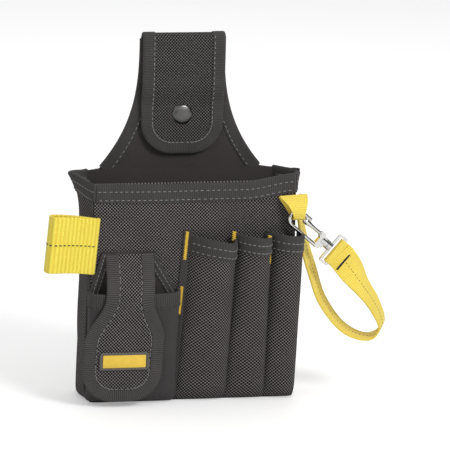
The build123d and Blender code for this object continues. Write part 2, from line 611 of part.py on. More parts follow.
make_back()
make_neck_bindings()
make_fold()
make_body()
make_rim()
make_belt_flap()
make_snap()
make_driver_pockets()
make_trims()
make_phone_pocket()
make_pocket_flap()
make_tool_loop()
make_keeper()
make_strap()
make_hook()
make_eye()
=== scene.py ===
import bpy
import json
import math
import random
from mathutils import Matrix, Vector


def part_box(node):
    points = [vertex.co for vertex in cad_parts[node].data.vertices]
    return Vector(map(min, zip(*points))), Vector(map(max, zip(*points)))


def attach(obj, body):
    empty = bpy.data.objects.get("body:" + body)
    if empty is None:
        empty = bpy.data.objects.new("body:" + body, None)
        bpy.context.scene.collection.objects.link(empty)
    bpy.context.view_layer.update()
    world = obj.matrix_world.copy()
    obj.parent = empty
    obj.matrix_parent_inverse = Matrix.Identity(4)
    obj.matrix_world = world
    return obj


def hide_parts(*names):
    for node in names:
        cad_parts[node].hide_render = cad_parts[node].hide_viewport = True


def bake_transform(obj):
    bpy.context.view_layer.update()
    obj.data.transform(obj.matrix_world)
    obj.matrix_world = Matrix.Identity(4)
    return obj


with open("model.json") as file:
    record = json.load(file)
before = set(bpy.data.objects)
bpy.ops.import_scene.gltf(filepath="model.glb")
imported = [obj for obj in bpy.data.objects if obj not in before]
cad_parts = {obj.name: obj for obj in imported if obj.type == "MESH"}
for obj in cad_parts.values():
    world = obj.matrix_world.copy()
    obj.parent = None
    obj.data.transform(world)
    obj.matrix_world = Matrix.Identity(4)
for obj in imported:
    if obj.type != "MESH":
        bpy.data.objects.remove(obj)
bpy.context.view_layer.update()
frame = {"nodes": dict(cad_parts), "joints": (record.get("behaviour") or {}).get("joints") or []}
mm = 0.001
random.seed(7)
bpy.ops.object.select_all(action="DESELECT")


# reading the frame, in millimetres
def lowHigh(node):
    low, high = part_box(node)
    return Vector(low) / mm, Vector(high) / mm


joints = {joint["name"]: joint for joint in frame["joints"]}
front = Vector((0, -1, 0))
frontLow, frontHigh = lowHigh("front_panel")
baseLow = lowHigh("base_panel")[0]
backHigh = lowHigh("back_panel")[1]
foldHigh = lowHigh("belt_fold")[1]
flapLow = lowHigh("belt_flap_binding")[0]
mouthZ, baseZ = frontHigh.z, baseLow.z
topY, lowY = frontLow.y, baseLow.y
liningY = lowHigh("back_lining")[0].y


# small tools for shaping
def mix(a, b, t):
    return a + (b - a) * t


def ease(t):
    t = min(max(t, 0.0), 1.0)
    return t * t * (3 - 2 * t)


def track(points):
    # a run along points: t from 0 to 1 gives a place at an even pace
    points = [Vector(p) for p in points]
    marks = [0.0]
    for a, b in zip(points, points[1:]):
        marks.append(marks[-1] + (b - a).length)
    total = marks[-1]

    def at(t):
        want = min(max(t, 0.0), 1.0) * total
        low, high = 0, len(marks) - 1
        while high - low > 1:
            middle = (low + high) // 2
            if marks[middle] <= want:
                low = middle
            else:
                high = middle
        part = (want - marks[low]) / max(marks[high] - marks[low], 1e-9)
        return points[low].lerp(points[high], part)

    at.length = total
    return at


def rounded(points, times=3):
    # cuts the corners of a run until it is smooth, and keeps its ends
    points = [Vector(p) for p in points]
    for _ in range(times):
        cut = [points[0]]
        for a, b in zip(points, points[1:]):
            cut += [a.lerp(b, 0.25), a.lerp(b, 0.75)]
        points = cut + [points[-1]]
    return points


def facing(surface, p, q, away):
    # the side of a surface that looks the given way
    step = 0.4
    along = surface(p + step, q) - surface(p - step, q)
    down = surface(p, q + step) - surface(p, q - step)
    normal = along.cross(down).normalized()
    return normal if normal.dot(away) >= 0 else -normal


def boxy(power, count=160):
    # plan of a pocket: from its left seam round its front to its right seam
    points = []
    for step in range(count + 1):
        turn = math.pi * step / count
        x = -math.copysign(abs(math.cos(turn)) ** power, math.cos(turn))
        points.append((x, abs(math.sin(turn)) ** power, 0))
    return track(points)


def pick(piece):
    bpy.ops.object.select_all(action="DESELECT")
    piece.select_set(True)
    bpy.context.view_layer.objects.active = piece


def use(piece, name, material, body, nodes=(), angle=40):
    piece.name = name
    piece.data.name = name
    piece.data.materials.clear()
    piece.data.materials.append(material)
    pick(piece)
    bpy.ops.object.transform_apply(location=True, rotation=True, scale=True)
    bpy.ops.object.shade_smooth_by_angle(angle=math.radians(angle))
    piece.select_set(False)
    if body:
        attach(piece, body)
    if nodes:
        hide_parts(*nodes)
    return piece


def outwards(piece):
    pick(piece)
    bpy.ops.object.mode_set(mode="EDIT")
    bpy.ops.mesh.select_all(action="SELECT")
    bpy.ops.mesh.normals_make_consistent(inside=False)
    bpy.ops.object.mode_set(mode="OBJECT")


def thicken(piece, thick, bevel=0.0, offset=0.0):
    outwards(piece)
    solid = piece.modifiers.new("cloth", "SOLIDIFY")
    solid.thickness, solid.offset = thick * mm, offset
    bpy.ops.object.modifier_apply(modifier=solid.name)
    if bevel:
        edge = piece.modifiers.new("edge", "BEVEL")
        edge.width, edge.segments, edge.limit_method = bevel * mm, 2, "ANGLE"
        edge.angle_limit = math.radians(50)
        bpy.ops.object.modifier_apply(modifier=edge.name)
    outwards(piece)


def cloth(name, place, cols, rows, thick, material, body, nodes=(), uv=None, bevel=0.0):
    # a sewn panel: a grid laid on a surface, given the cloth's thickness
    bpy.ops.object.select_all(action="DESELECT")
    bpy.ops.mesh.primitive_grid_add(x_subdivisions=cols, y_subdivisions=rows, size=1)
    piece = bpy.context.object
    spots = [(v.co.x + 0.5, 0.5 - v.co.y) for v in piece.data.vertices]
    for vert, (u, v) in zip(piece.data.vertices, spots):
        vert.co = place(u, v) * mm
    layer = piece.data.uv_layers.active.data
    width = sum((place(i / 20, 0.5) - place((i + 1) / 20, 0.5)).length for i in range(20))
    height = sum((place(0.5, i / 20) - place(0.5, (i + 1) / 20)).length for i in range(20))
    for corner in piece.data.loops:
        u, v = spots[corner.vertex_index]
        flat = uv(u, v) if uv else (u * width, v * height)
        layer[corner.index].uv = (flat[0] * mm, flat[1] * mm)
    thicken(piece, thick, bevel)
    return use(piece, name, material, body, nodes)


def tape(name, surface, outline, inward, wide, under, thick, away, material, body, nodes=(),
         cols=160):
    # binding folded over a cloth edge: a front leg, the turn round the edge, and a back leg
    lift = under / 2 + thick / 2

    def place(u, v):
        p, q = outline(u)
        dp, dq = inward(u)
        side = facing(surface, p + dp, q + dq, away(u) if callable(away) else away)
        if v <= 0.4:
            reach = wide * (1 - v / 0.4)
            sunk = 0.25 * ease((reach - wide + 2) / 2)
            return surface(p + dp * reach, q + dq * reach) + side * (lift - sunk)
        if v >= 0.6:
            reach = wide * (v - 0.6) / 0.4
            return surface(p + dp * reach, q + dq * reach) - side * lift
        turn = (v - 0.4) / 0.2 * math.pi
        edge = surface(p, q)
        out = (edge - surface(p + dp, q + dq)).normalized()
        return edge + out * lift * 0.8 * math.sin(turn) + side * lift * math.cos(turn)

    return cloth(name, place, cols, 20, thick, material, body, nodes)


def makeStitch():
    # one stitch, modelled once: a short round thread whose ends dive into the cloth
    bpy.ops.mesh.primitive_cylinder_add(vertices=6, radius=0.36, depth=2.0, rotation=(0, math.pi / 2, 0))
    piece = bpy.context.object
    bpy.ops.object.transform_apply(rotation=True)
    bpy.ops.object.mode_set(mode="EDIT")
    bpy.ops.mesh.select_mode(type="FACE")
    bpy.ops.mesh.select_all(action="DESELECT")
    bpy.ops.object.mode_set(mode="OBJECT")
    for face in piece.data.polygons:
        face.select = abs(face.normal.x) > 0.9
    bpy.ops.object.mode_set(mode="EDIT")
    bpy.ops.mesh.extrude_faces_move(TRANSFORM_OT_shrink_fatten={"value": 0.45})
    bpy.ops.transform.resize(value=(1, 0.45, 0.45), center_override=(0, 0, 0))
    bpy.ops.object.mode_set(mode="OBJECT")
    for vert in piece.data.vertices:
        vert.co.z -= 0.5 * max(abs(vert.co.x) - 0.9, 0)
    shape = [v.co.copy() for v in piece.data.vertices], [tuple(f.vertices) for f in piece.data.polygons]
    bpy.data.objects.remove(piece)
    return shape


stitchShape = makeStitch()


def sew(name, rows, material, body, pitch=4.4, size=1.0, thick=1.0):
    # rows of stitches: each row gives a place and the way out of the cloth for t from 0 to 1
    points, faces = [], []
    for row in rows:
        length = sum((row(i / 60)[0] - row((i + 1) / 60)[0]).length for i in range(60))
        count = max(int(length / pitch), 1)
        for index in range(count):
            t = (index + 0.5 + random.uniform(-0.06, 0.06)) / count
            spot, out = row(t)
            along = (row(min(t + 0.004, 1))[0] - row(max(t - 0.004, 0))[0]).normalized()
            across = out.cross(along).normalized()
            up = along.cross(across)
            first = len(points)
            for co in stitchShape[0]:
                point = spot + along * co.x * size + across * co.y * thick + up * co.z * thick
                points.append(point * mm)
            faces += [tuple(first + i for i in face) for face in stitchShape[1]]
    mesh = bpy.data.meshes.new(name)
    mesh.from_pydata(points, [], faces)
    piece = bpy.data.objects.new(name, mesh)
    bpy.context.collection.objects.link(piece)
    return use(piece, name, material, body, angle=60)


def rowOn(surface, outline, inward, reach, lift, away, start=0.0, end=1.0):
    # a stitch row a set way in from an edge
    def at(t):
        t = mix(start, end, t)
        p, q = outline(t)
        dp, dq = inward(t)
        side = facing(surface, p + dp * reach, q + dq * reach, away(t) if callable(away) else away)
        return surface(p + dp * reach, q + dq * reach) + side * lift, side
    return at


def insideOf(outline, turn=1):
    # the way in from an outline's edge, square to it
    def at(t):
        a, b = outline(max(t - 0.004, 0)), outline(min(t + 0.004, 1))
        run = Vector((b[0] - a[0], b[1] - a[1], 0)).normalized()
        return -run.y * turn, run.x * turn
    return at


# shader tools
def calc(tree, operation, first, second=None, third=None, clamp=False):
    node = tree.nodes.new("ShaderNodeMath")
    node.operation, node.use_clamp = operation, clamp
    for socket, value in zip(node.inputs, (first, second, third)):
        if value is None:
            continue
        if isinstance(value, (int, float)):
            socket.default_value = value
        else:
            tree.links.new(value, socket)
    return node.outputs[0]


def blendColours(tree, share, first, second):
    node = tree.nodes.new("ShaderNodeMix")
    node.data_type = "RGBA"
    for socket, value in ((node.inputs[0], share), (node.inputs[6], first), (node.inputs[7], second)):
        if isinstance(value, (int, float)):
            socket.default_value = value
        elif isinstance(value, tuple):
            socket.default_value = (*value, 1)
        else:
            tree.links.new(value, socket)
    return node.outputs[2]


def noise(tree, vector, scale, detail=3.0):
    node = tree.nodes.new("ShaderNodeTexNoise")
    node.inputs["Scale"].default_value = scale
    node.inputs["Detail"].default_value = detail
    tree.links.new(vector, node.inputs["Vector"])
    return node.outputs["Fac"]


def newGroup(name, inputs, outputs):
    tree = bpy.data.node_groups.new(name, "ShaderNodeTree")
    for label, kind, value in inputs:
        socket = tree.interface.new_socket(name=label, in_out="INPUT", socket_type=kind)
        if value is not None:
            socket.default_value = value
    for label, kind in outputs:
        tree.interface.new_socket(name=label, in_out="OUTPUT", socket_type=kind)
    return tree, tree.nodes.new("NodeGroupInput").outputs, tree.nodes.new("NodeGroupOutput").inputs


def weaveGroup():
    # basket weave of paired threads: colour, height and roughness from a flat cloth position in metres; the
    # colour is painted light, a painted highlight on the thread tops and painted shade where the threads dive
    # and on the cells where the weft lies on top
    tree, given, out = newGroup("basketWeave", [
        ("Flat", "NodeSocketVector", None), ("Cell", "NodeSocketFloat", 0.0011),
        ("Dark", "NodeSocketColor", (0.01, 0.01, 0.01, 1)), ("Light", "NodeSocketColor", (0.1, 0.1, 0.1, 1)),
        ("Weft", "NodeSocketFloat", 0.3), ("Uneven", "NodeSocketFloat", 0.3)],
        [("Colour", "NodeSocketColor"), ("Height", "NodeSocketFloat"), ("Roughness", "NodeSocketFloat")])
    split = tree.nodes.new("ShaderNodeSeparateXYZ")
    tree.links.new(given["Flat"], split.inputs[0])
    x = calc(tree, "DIVIDE", split.outputs[0], given["Cell"])
    y = calc(tree, "DIVIDE", split.outputs[1], given["Cell"])
    cell = calc(tree, "ADD", calc(tree, "FLOOR", x), calc(tree, "FLOOR", y))
    onTop = calc(tree, "LESS_THAN", calc(tree, "FLOORED_MODULO", cell, 2.0), 0.5)

    def yarns(across, along):
        # two round threads side by side that dive under at the cell's ends
        pair = calc(tree, "ABSOLUTE", calc(tree, "SINE", calc(tree, "MULTIPLY", across, 2 * math.pi)))
        dive = calc(tree, "ABSOLUTE", calc(tree, "SINE", calc(tree, "MULTIPLY", along, math.pi)))
        return calc(tree, "MULTIPLY", calc(tree, "ADD", calc(tree, "MULTIPLY", pair, 0.35), 0.65),
                    calc(tree, "POWER", dive, 0.6))

    warp, weft = yarns(x, y), yarns(y, x)
    under = calc(tree, "SUBTRACT", 1.0, onTop)
    height = calc(tree, "ADD", calc(tree, "MULTIPLY", warp, onTop), calc(tree, "MULTIPLY", weft, under))
    broad = calc(tree, "SUBTRACT", noise(tree, given["Flat"], 30, 4), 0.5)
    fine = calc(tree, "SUBTRACT", noise(tree, given["Flat"], 700, 1), 0.5)
    tone = calc(tree, "ADD", calc(tree, "MULTIPLY", broad, 1.4), calc(tree, "MULTIPLY", fine, 1.6))
    tone = calc(tree, "MULTIPLY", tone, given["Uneven"])
    share = calc(tree, "ADD", onTop, calc(tree, "MULTIPLY", under, given["Weft"]))
    # painted light: high thread tops get the light colour as a painted highlight, dives and weft cells fall
    # to the dark colour as painted shade
    lit = calc(tree, "MULTIPLY", calc(tree, "MULTIPLY", height, share), calc(tree, "ADD", tone, 1.0),
               clamp=True)
    tree.links.new(blendColours(tree, lit, given["Dark"], given["Light"]), out["Colour"])
    tree.links.new(height, out["Height"])
    tree.links.new(calc(tree, "ADD", calc(tree, "MULTIPLY", tone, 0.2), 0.7), out["Roughness"])
    return tree


def ribGroup():
    # ribs square to a tape's length, with fine threads along it; the colour is painted light, a painted
    # highlight on the rib crests and painted shade in the troughs
    tree, given, out = newGroup("tapeRibs", [
        ("Flat", "NodeSocketVector", None), ("Pitch", "NodeSocketFloat", 0.001),
        ("Dark", "NodeSocketColor", (0.01, 0.01, 0.01, 1)), ("Light", "NodeSocketColor", (0.1, 0.1, 0.1, 1)),
        ("Fine", "NodeSocketFloat", 0.25)],
        [("Colour", "NodeSocketColor"), ("Height", "NodeSocketFloat")])
    split = tree.nodes.new("ShaderNodeSeparateXYZ")
    tree.links.new(given["Flat"], split.inputs[0])
    x = calc(tree, "DIVIDE", split.outputs[0], given["Pitch"])
    y = calc(tree, "DIVIDE", split.outputs[1], calc(tree, "MULTIPLY", given["Pitch"], 0.45))
    rib = calc(tree, "ABSOLUTE", calc(tree, "SINE", calc(tree, "MULTIPLY", x, math.pi)))
    cross = calc(tree, "ABSOLUTE", calc(tree, "SINE", calc(tree, "MULTIPLY", y, math.pi)))
    height = calc(tree, "ADD", calc(tree, "MULTIPLY", rib, calc(tree, "SUBTRACT", 1.0, given["Fine"])),
                  calc(tree, "MULTIPLY", cross, given["Fine"]))
    broad = noise(tree, given["Flat"], 40, 4)
    patches = calc(tree, "MULTIPLY", calc(tree, "SUBTRACT", broad, 0.5), 0.5)
    # painted light: rib crests take the light colour as a painted highlight and troughs the dark colour as
    # painted shade; the broad patches on top are random tone
    lit = calc(tree, "ADD", height, patches, clamp=True)
    tree.links.new(blendColours(tree, lit, given["Dark"], given["Light"]), out["Colour"])
    tree.links.new(height, out["Height"])
    return tree


def wearGroup():
    # lint and rubbing: lightens a colour in soft patches and specks
    tree, given, out = newGroup("lintAndWear", [
        ("Place", "NodeSocketVector", None), ("Colour", "NodeSocketColor", (0.1, 0.1, 0.1, 1)),
        ("Lint", "NodeSocketColor", (0.2, 0.2, 0.2, 1)), ("Amount", "NodeSocketFloat", 0.15)],
        [("Colour", "NodeSocketColor"), ("Mask", "NodeSocketFloat")])
    patch = calc(tree, "SMOOTH_MIN", noise(tree, given["Place"], 18, 5), 1.0, 0.1)
    speck = calc(tree, "GREATER_THAN", noise(tree, given["Place"], 620, 2), 0.72)
    mask = calc(tree, "MULTIPLY", calc(tree, "ADD", patch, speck), given["Amount"], clamp=True)
    tree.links.new(blendColours(tree, mask, given["Colour"], given["Lint"]), out["Colour"])
    tree.links.new(mask, out["Mask"])
    return tree


weaveTree, ribTree, wearTree = weaveGroup(), ribGroup(), wearGroup()


def newMaterial(name, rough, metal=0.0, specular=0.5, sheen=0.0):
    material = bpy.data.materials.new(name)
    material.use_nodes = True
    tree = material.node_tree
    shader = tree.nodes["Principled BSDF"]
    shader.inputs["Roughness"].default_value = rough
    shader.inputs["Metallic"].default_value = metal
    shader.inputs["Specular IOR Level"].default_value = specular
    shader.inputs["Sheen Weight"].default_value = sheen
    shader.inputs["Sheen Roughness"].default_value = 0.6
    where = tree.nodes.new("ShaderNodeTexCoord")
    return material, tree, shader, where


def addGroup(tree, group, **values):
    node = tree.nodes.new("ShaderNodeGroup")
    node.node_tree = group
    for label, value in values.items():
        socket = node.inputs[label]
        if isinstance(value, tuple):
            socket.default_value = (*value, 1)
        elif isinstance(value, (int, float)):
            socket.default_value = value
        else:
            tree.links.new(value, socket)
    return node.outputs


def addBump(tree, shader, height, distance, strength=1.0):
    bump = tree.nodes.new("ShaderNodeBump")
    bump.inputs["Distance"].default_value = distance
    bump.inputs["Strength"].default_value = strength
    tree.links.new(height, bump.inputs["Height"])
    tree.links.new(bump.outputs[0], shader.inputs["Normal"])


def wovenMaterial(name, look):
    material, tree, shader, where = newMaterial(name, look["rough"], sheen=look["sheen"],
                                                specular=look["gloss"])
    weave = addGroup(tree, weaveTree, Flat=where.outputs["UV"], Cell=look["cell"] * mm, Dark=look["dark"],
                     Light=look["light"], Weft=look["weft"], Uneven=look["uneven"])
    worn = addGroup(tree, wearTree, Place=where.outputs["Object"], Colour=weave["Colour"], Lint=look["lint"],
                    Amount=look["worn"])
    tree.links.new(worn["Colour"], shader.inputs["Base Color"])
    tree.links.new(weave["Roughness"], shader.inputs["Roughness"])
    addBump(tree, shader, weave["Height"], look["cell"] * 0.3 * mm)
    return material


def ribbedMaterial(name, look):
    material, tree, shader, where = newMaterial(name, look["rough"], sheen=look["sheen"],
                                                specular=look["gloss"])
    rib = addGroup(tree, ribTree, Flat=where.outputs["UV"], Pitch=look["pitch"] * mm, Dark=look["dark"],
                   Light=look["light"], Fine=look["fine"])
    worn = addGroup(tree, wearTree, Place=where.outputs["Object"], Colour=rib["Colour"], Lint=look["lint"],
                    Amount=look["worn"])
    tree.links.new(worn["Colour"], shader.inputs["Base Color"])
    addBump(tree, shader, rib["Height"], look["pitch"] * 0.22 * mm)
    return material


def plainMaterial(name, look):
    material, tree, shader, where = newMaterial(name, look["rough"], look["metal"], look["gloss"])
    grain = noise(tree, where.outputs["Object"], look["grain"], 4)
    tree.links.new(blendColours(tree, grain, look["dark"], look["light"]), shader.inputs["Base Color"])
    spread = calc(tree, "MULTIPLY", calc(tree, "SUBTRACT", grain, 0.5), look["spread"])
    tree.links.new(calc(tree, "ADD", spread, look["rough"], clamp=True), shader.inputs["Roughness"])
    addBump(tree, shader, grain, look["bump"] * mm)
    return material


# dark is painted shade in the weave's hollows and light is the thread colour with a painted highlight; weft
# sets how much of that highlight the weft cells keep
clothLooks = {
    "ballistic": dict(cell=1.5, dark=(0.001, 0.001, 0.001), light=(0.255, 0.229, 0.232), weft=0.0, uneven=0.4,
                      rough=0.7, sheen=0.0, gloss=0.12, lint=(0.20, 0.18, 0.17), worn=0.04),
    "flapCloth": dict(cell=1.4, dark=(0.002, 0.002, 0.002), light=(0.178, 0.160, 0.162), weft=0.02,
                      uneven=0.4, rough=0.7, sheen=0.0, gloss=0.15, lint=(0.20, 0.18, 0.17), worn=0.04),
    "packcloth": dict(cell=0.6, dark=(0.020, 0.018, 0.018), light=(0.078, 0.070, 0.071), weft=0.6, uneven=0.3,
                      rough=0.8, sheen=0.05, gloss=0.25, lint=(0.16, 0.14, 0.14), worn=0.05),
    "lining": dict(cell=0.5, dark=(0.022, 0.019, 0.018), light=(0.080, 0.069, 0.067), weft=0.6, uneven=0.25,
                   rough=0.85, sheen=0.05, gloss=0.2, lint=(0.12, 0.10, 0.10), worn=0.05),
}
# dark is painted shade in the rib troughs, orange painted shade on the yellow webbings, and light is the
# painted highlight on the crests
tapeLooks = {
    "binding": dict(pitch=1.45, dark=(0.010, 0.010, 0.010), light=(0.072, 0.066, 0.065), fine=0.25, rough=0.8,
                    sheen=0.05, gloss=0.25, lint=(0.18, 0.16, 0.15), worn=0.05),
    "flapTape": dict(pitch=1.7, dark=(0.007, 0.007, 0.007), light=(0.092, 0.084, 0.083), fine=0.2, rough=0.8,
                     sheen=0.02, gloss=0.2, lint=(0.18, 0.16, 0.15), worn=0.05),
    "wideWebbing": dict(pitch=4.0, dark=(0.90, 0.62, 0.036), light=(0.98, 0.84, 0.092), fine=0.25, rough=0.6,
                        sheen=0.1, gloss=0.3, lint=(0.9, 0.8, 0.3), worn=0.08),
    "strapWebbing": dict(pitch=1.9, dark=(0.86, 0.58, 0.038), light=(0.97, 0.79, 0.12), fine=0.25, rough=0.6,
                         sheen=0.1, gloss=0.3, lint=(0.9, 0.8, 0.3), worn=0.08),
}
plainLooks = {
    "greyThread": dict(dark=(0.14, 0.135, 0.13), light=(0.34, 0.33, 0.32), rough=0.6, metal=0, gloss=0.4,
                       grain=900, spread=0.2, bump=0.05),
    "yellowThread": dict(dark=(0.62, 0.36, 0.02), light=(0.95, 0.68, 0.08), rough=0.5, metal=0, gloss=0.4,
                         grain=900, spread=0.2, bump=0.05),
    "blackThread": dict(dark=(0.010, 0.008, 0.006), light=(0.035, 0.028, 0.020), rough=0.6, metal=0,
                        gloss=0.4, grain=900, spread=0.2, bump=0.05),
    "gunmetal": dict(dark=(0.10, 0.098, 0.096), light=(0.17, 0.168, 0.165), rough=0.34, metal=1.0, gloss=0.5,
                     grain=300, spread=0.2, bump=0.02),
    "chrome": dict(dark=(0.66, 0.65, 0.62), light=(0.82, 0.81, 0.78), rough=0.14, metal=1.0, gloss=0.5,
                   grain=240, spread=0.12, bump=0.015),
    "frameRubber": dict(dark=(0.085, 0.080, 0.075), light=(0.15, 0.14, 0.13), rough=0.6, metal=0, gloss=0.4,
                        grain=500, spread=0.2, bump=0.04),
    "plateRubber": dict(dark=(0.78, 0.50, 0.045), light=(0.90, 0.64, 0.09), rough=0.5, metal=0, gloss=0.4,
                        grain=320, spread=0.2, bump=0.03),
    "fuzz": dict(dark=(0.008, 0.008, 0.008), light=(0.05, 0.05, 0.05), rough=0.9, metal=0, gloss=0.2,
                 grain=1400, spread=0.1, bump=0.5),
}
finish = {name: wovenMaterial(name, look) for name, look in clothLooks.items()}
finish.update({name: ribbedMaterial(name, look) for name, look in tapeLooks.items()})
finish.update({name: plainMaterial(name, look) for name, look in plainLooks.items()})
print("materials made")


# back and neck
neck = dict(half=37.4, flare=36.5, power=2.85, foot=-90.0, top=foldHigh.z - 6, shoulder=88.0, base=93.0)
bag = dict(leftCorner=9.0, rightCorner=6.0, shift=2.0, topHalf=91.5, lowHalf=95.5, flareLeft=8.0,
           flareRight=5.5, crease=96.0, creaseLow=98.0, cloth=2.6, foot=8.0,
           rim=[(0, 0.5), (50, 4.6), (100, -1.6), (180, -2.4), (250, -2.0), (300, 4.4), (350, 1.6),
                (400, 0.5)])


def down(z):
    return (mouthZ - z) / (mouthZ - baseZ)


def frontFace(z):
    return mix(topY, lowY, down(z))


def cornerCut(z, radius):
    rise = max(z - baseZ, 0)
    return 0.0 if rise >= radius else radius - math.sqrt(radius ** 2 - (radius - rise) ** 2)


def neckHalf(z):
    drop = max(neck["top"] - z, 0) / (neck["top"] - neck["foot"])
    return neck["half"] + neck["flare"] * drop ** neck["power"]


def backHalf(z, side):
    if z > neck["foot"]:
        return neckHalf(z)
    shoulder = mix(neckHalf(neck["foot"]), neck["shoulder"], ease((neck["foot"] - z) / 2.0))
    body = mix(neck["shoulder"], neck["base"], down(z))
    corner = bag["leftCorner"] if side < 0 else bag["rightCorner"]
    return min(shoulder, body) - cornerCut(z, corner)


backMiddle = (liningY + backHigh.y) / 2


def backPoint(x, z):
    return Vector((x, backMiddle, z))


def makeBack():
    def place(u, v):
        z = mix(neck["top"], baseZ, v)
        a = 2 * u - 1
        return backPoint(a * backHalf(z, a), z)

    thick = backHigh.y - liningY - 0.7
    def skin(u, v):
        return place(u, v) + Vector((0, 0.3, 0))

    def lining(u, v):
        return place(u * 0.98 + 0.01, v * 0.99 + 0.005) + Vector((0, -thick / 2, 0))

    flat = lambda u, v: tuple(place(u, v).xz)
    cloth("backPanel", skin, 60, 150, thick, finish["ballistic"], "root", ["back_panel", "back_stiffener"],
          uv=flat)
    cloth("backLining", lining, 60, 150, 0.7, finish["lining"], "root", ["back_lining"], uv=flat)


def makeNeckBindings():
    rows = []
    for name, sign in (("neckBindingLeft", -1), ("neckBindingRight", 1)):
        def outline(t, sign=sign):
            z = mix(neck["top"], neck["foot"] + 1, t)
            return sign * neckHalf(z), z

        inward = insideOf(outline, -sign)
        away = front
        node = "neck_binding_left" if sign < 0 else "neck_binding_right"
        tape(name, backPoint, outline, inward, 10.0, 3.0, 0.8, away, finish["binding"], "root", [node],
             cols=90)
        rows.append(rowOn(backPoint, outline, inward, 8.2, 2.45, away))
        rows.append(rowOn(backPoint, outline, inward, 8.2, 2.45, -away))
    sew("neckStitches", rows, finish["greyThread"], "root")


makeBack()
makeNeckBindings()
print("back and neck made")


# bag: front, gussets, base and rim
def bagHalf(z, side):
    corner = bag["leftCorner"] if side < 0 else bag["rightCorner"]
    lean = math.copysign(bag["shift"], side)
    return mix(bag["topHalf"], bag["lowHalf"], down(z)) + lean - cornerCut(z, corner)


def frontPoint(x, z):
    half = bagHalf(z, x)
    a = max(-1.0, min(1.0, x / half))
    swell = 1.2 * math.sin(math.pi * min(max(down(z), 0), 1)) * (1 - a * a)
    tuck = bag["foot"] - math.sqrt(max(bag["foot"] ** 2 - max(bag["foot"] - max(z - baseZ, 0), 0) ** 2, 0))
    sag = 1.0 * math.exp(-(mouthZ - z) / 30) * (1 - a * a) * math.cos(3.4 * a)
    return Vector((x, frontFace(z) + bag["cloth"] / 2 - swell + tuck + sag, z))


def gussetPoint(side, b, z):
    corner = cornerCut(z, bag["leftCorner"] if side < 0 else bag["rightCorner"])
    back = mix(neck["shoulder"], neck["base"], down(z)) - 1.3
    front = mix(bag["topHalf"], bag["lowHalf"], down(z)) - 1.0 + side * bag["shift"]
    flare = bag["flareLeft"] if side < 0 else bag["flareRight"]
    crease = mix(bag["crease"], bag["creaseLow"], down(z)) + flare * math.exp(-(mouthZ - z) / 17)
    crease += side * bag["shift"] * down(z)
    straight = mix(back, front, b)
    peak = max(1 - abs(2 * b - 1), 0) ** 0.85
    ripple = 0.5 * math.sin(z * 0.09 + 5 * b) * peak
    y = mix(liningY, frontPoint(side * 90, z).y, b)
    return Vector((side * (straight + (crease - mix(back, front, 0.5)) * peak + ripple - corner), y, z))


def ringPoint(r, z):
    # round the mouth: left gusset from 0 to 100, front to 300, right gusset to 400
    if r <= 100:
        return gussetPoint(-1, r / 100, z)
    if r >= 300:
        return gussetPoint(1, (400 - r) / 100, z)
    return frontPoint(mix(-1, 1, (r - 100) / 200) * (bagHalf(z, r - 200) - 0.5), z)


def ringAway(t):
    spot = ringPoint(400 * t, mouthZ)
    return Vector((spot.x * 0.6, min(spot.y + 15, -3) * 2, 0))


def rimZ(r):
    # the rim stands up at the gussets' folds and climbs to the right corner
    for (start, first), (end, second) in zip(bag["rim"], bag["rim"][1:]):
        if r <= end:
            return mouthZ + mix(first, second, ease((r - start) / (end - start)))
    return mouthZ + bag["rim"][-1][1]


def makeBag():
    def front(u, v):
        z = mix(mouthZ, baseZ + 0.4, v)
        a = 2 * u - 1
        return frontPoint(a * bagHalf(z, a), z)

    cloth("frontPanel", front, 70, 90, bag["cloth"], finish["ballistic"], "root", ["front_panel"],
          uv=lambda u, v: tuple(front(u, v).xz))
    for name, side in (("gussetLeft", -1), ("gussetRight", 1)):
        node = "left_gusset" if side < 0 else "right_gusset"
        place = lambda u, v, side=side: gussetPoint(side, u, mix(rimZ(100 - 100 * u), baseZ + 0.4, v))
        cloth(name, place, 30, 90, 2.0, finish["ballistic"], "root", [node],
              uv=lambda u, v: (60 * u, 200 * v))

    def base(u, v):
        a = 2 * u - 1
        spot = frontPoint(a * bagHalf(baseZ + 0.4, a), baseZ + 0.4)
        return Vector((spot.x, mix(liningY + 1.5, spot.y + 1, v), baseZ + 1.6))

    cloth("basePanel", base, 60, 16, 2.6, finish["ballistic"], "root", ["base_panel"])


def makeInnerBack():
    # the main pocket's own back sheet, whose top edge hides the ends of the neck bindings
    def place(u, v):
        z = mix(mouthZ + 1.2, baseZ + 6, v)
        half = mix(neck["shoulder"] - 1.5, neck["base"] - 2, down(z))
        return Vector((mix(-half, half, u), liningY - 1.5 - 0.4 * math.sin(u * 9), z))

    cloth("innerBack", place, 50, 70, 0.8, finish["lining"], "root", uv=lambda u, v: (u * 176, v * 196))


def makeRim():
    outline = lambda t: (400 * t, rimZ(400 * t))
    inward = lambda t: (0, -1)
    tape("rimBinding", ringPoint, outline, inward, 15.6, 2.8, 1.0, ringAway, finish["binding"], "root",
         ["rim_binding_front", "rim_binding_left", "rim_binding_right"], cols=260)
    rows = []
    for reach in (5.4, 13.2):
        rows.append(rowOn(ringPoint, outline, inward, reach, 2.5, ringAway, 0.02, 0.98))
        rows.append(rowOn(ringPoint, outline, inward, reach, 2.5, lambda t: -ringAway(t), 0.02, 0.98))
    sew("rimStitches", rows, finish["greyThread"], "root")


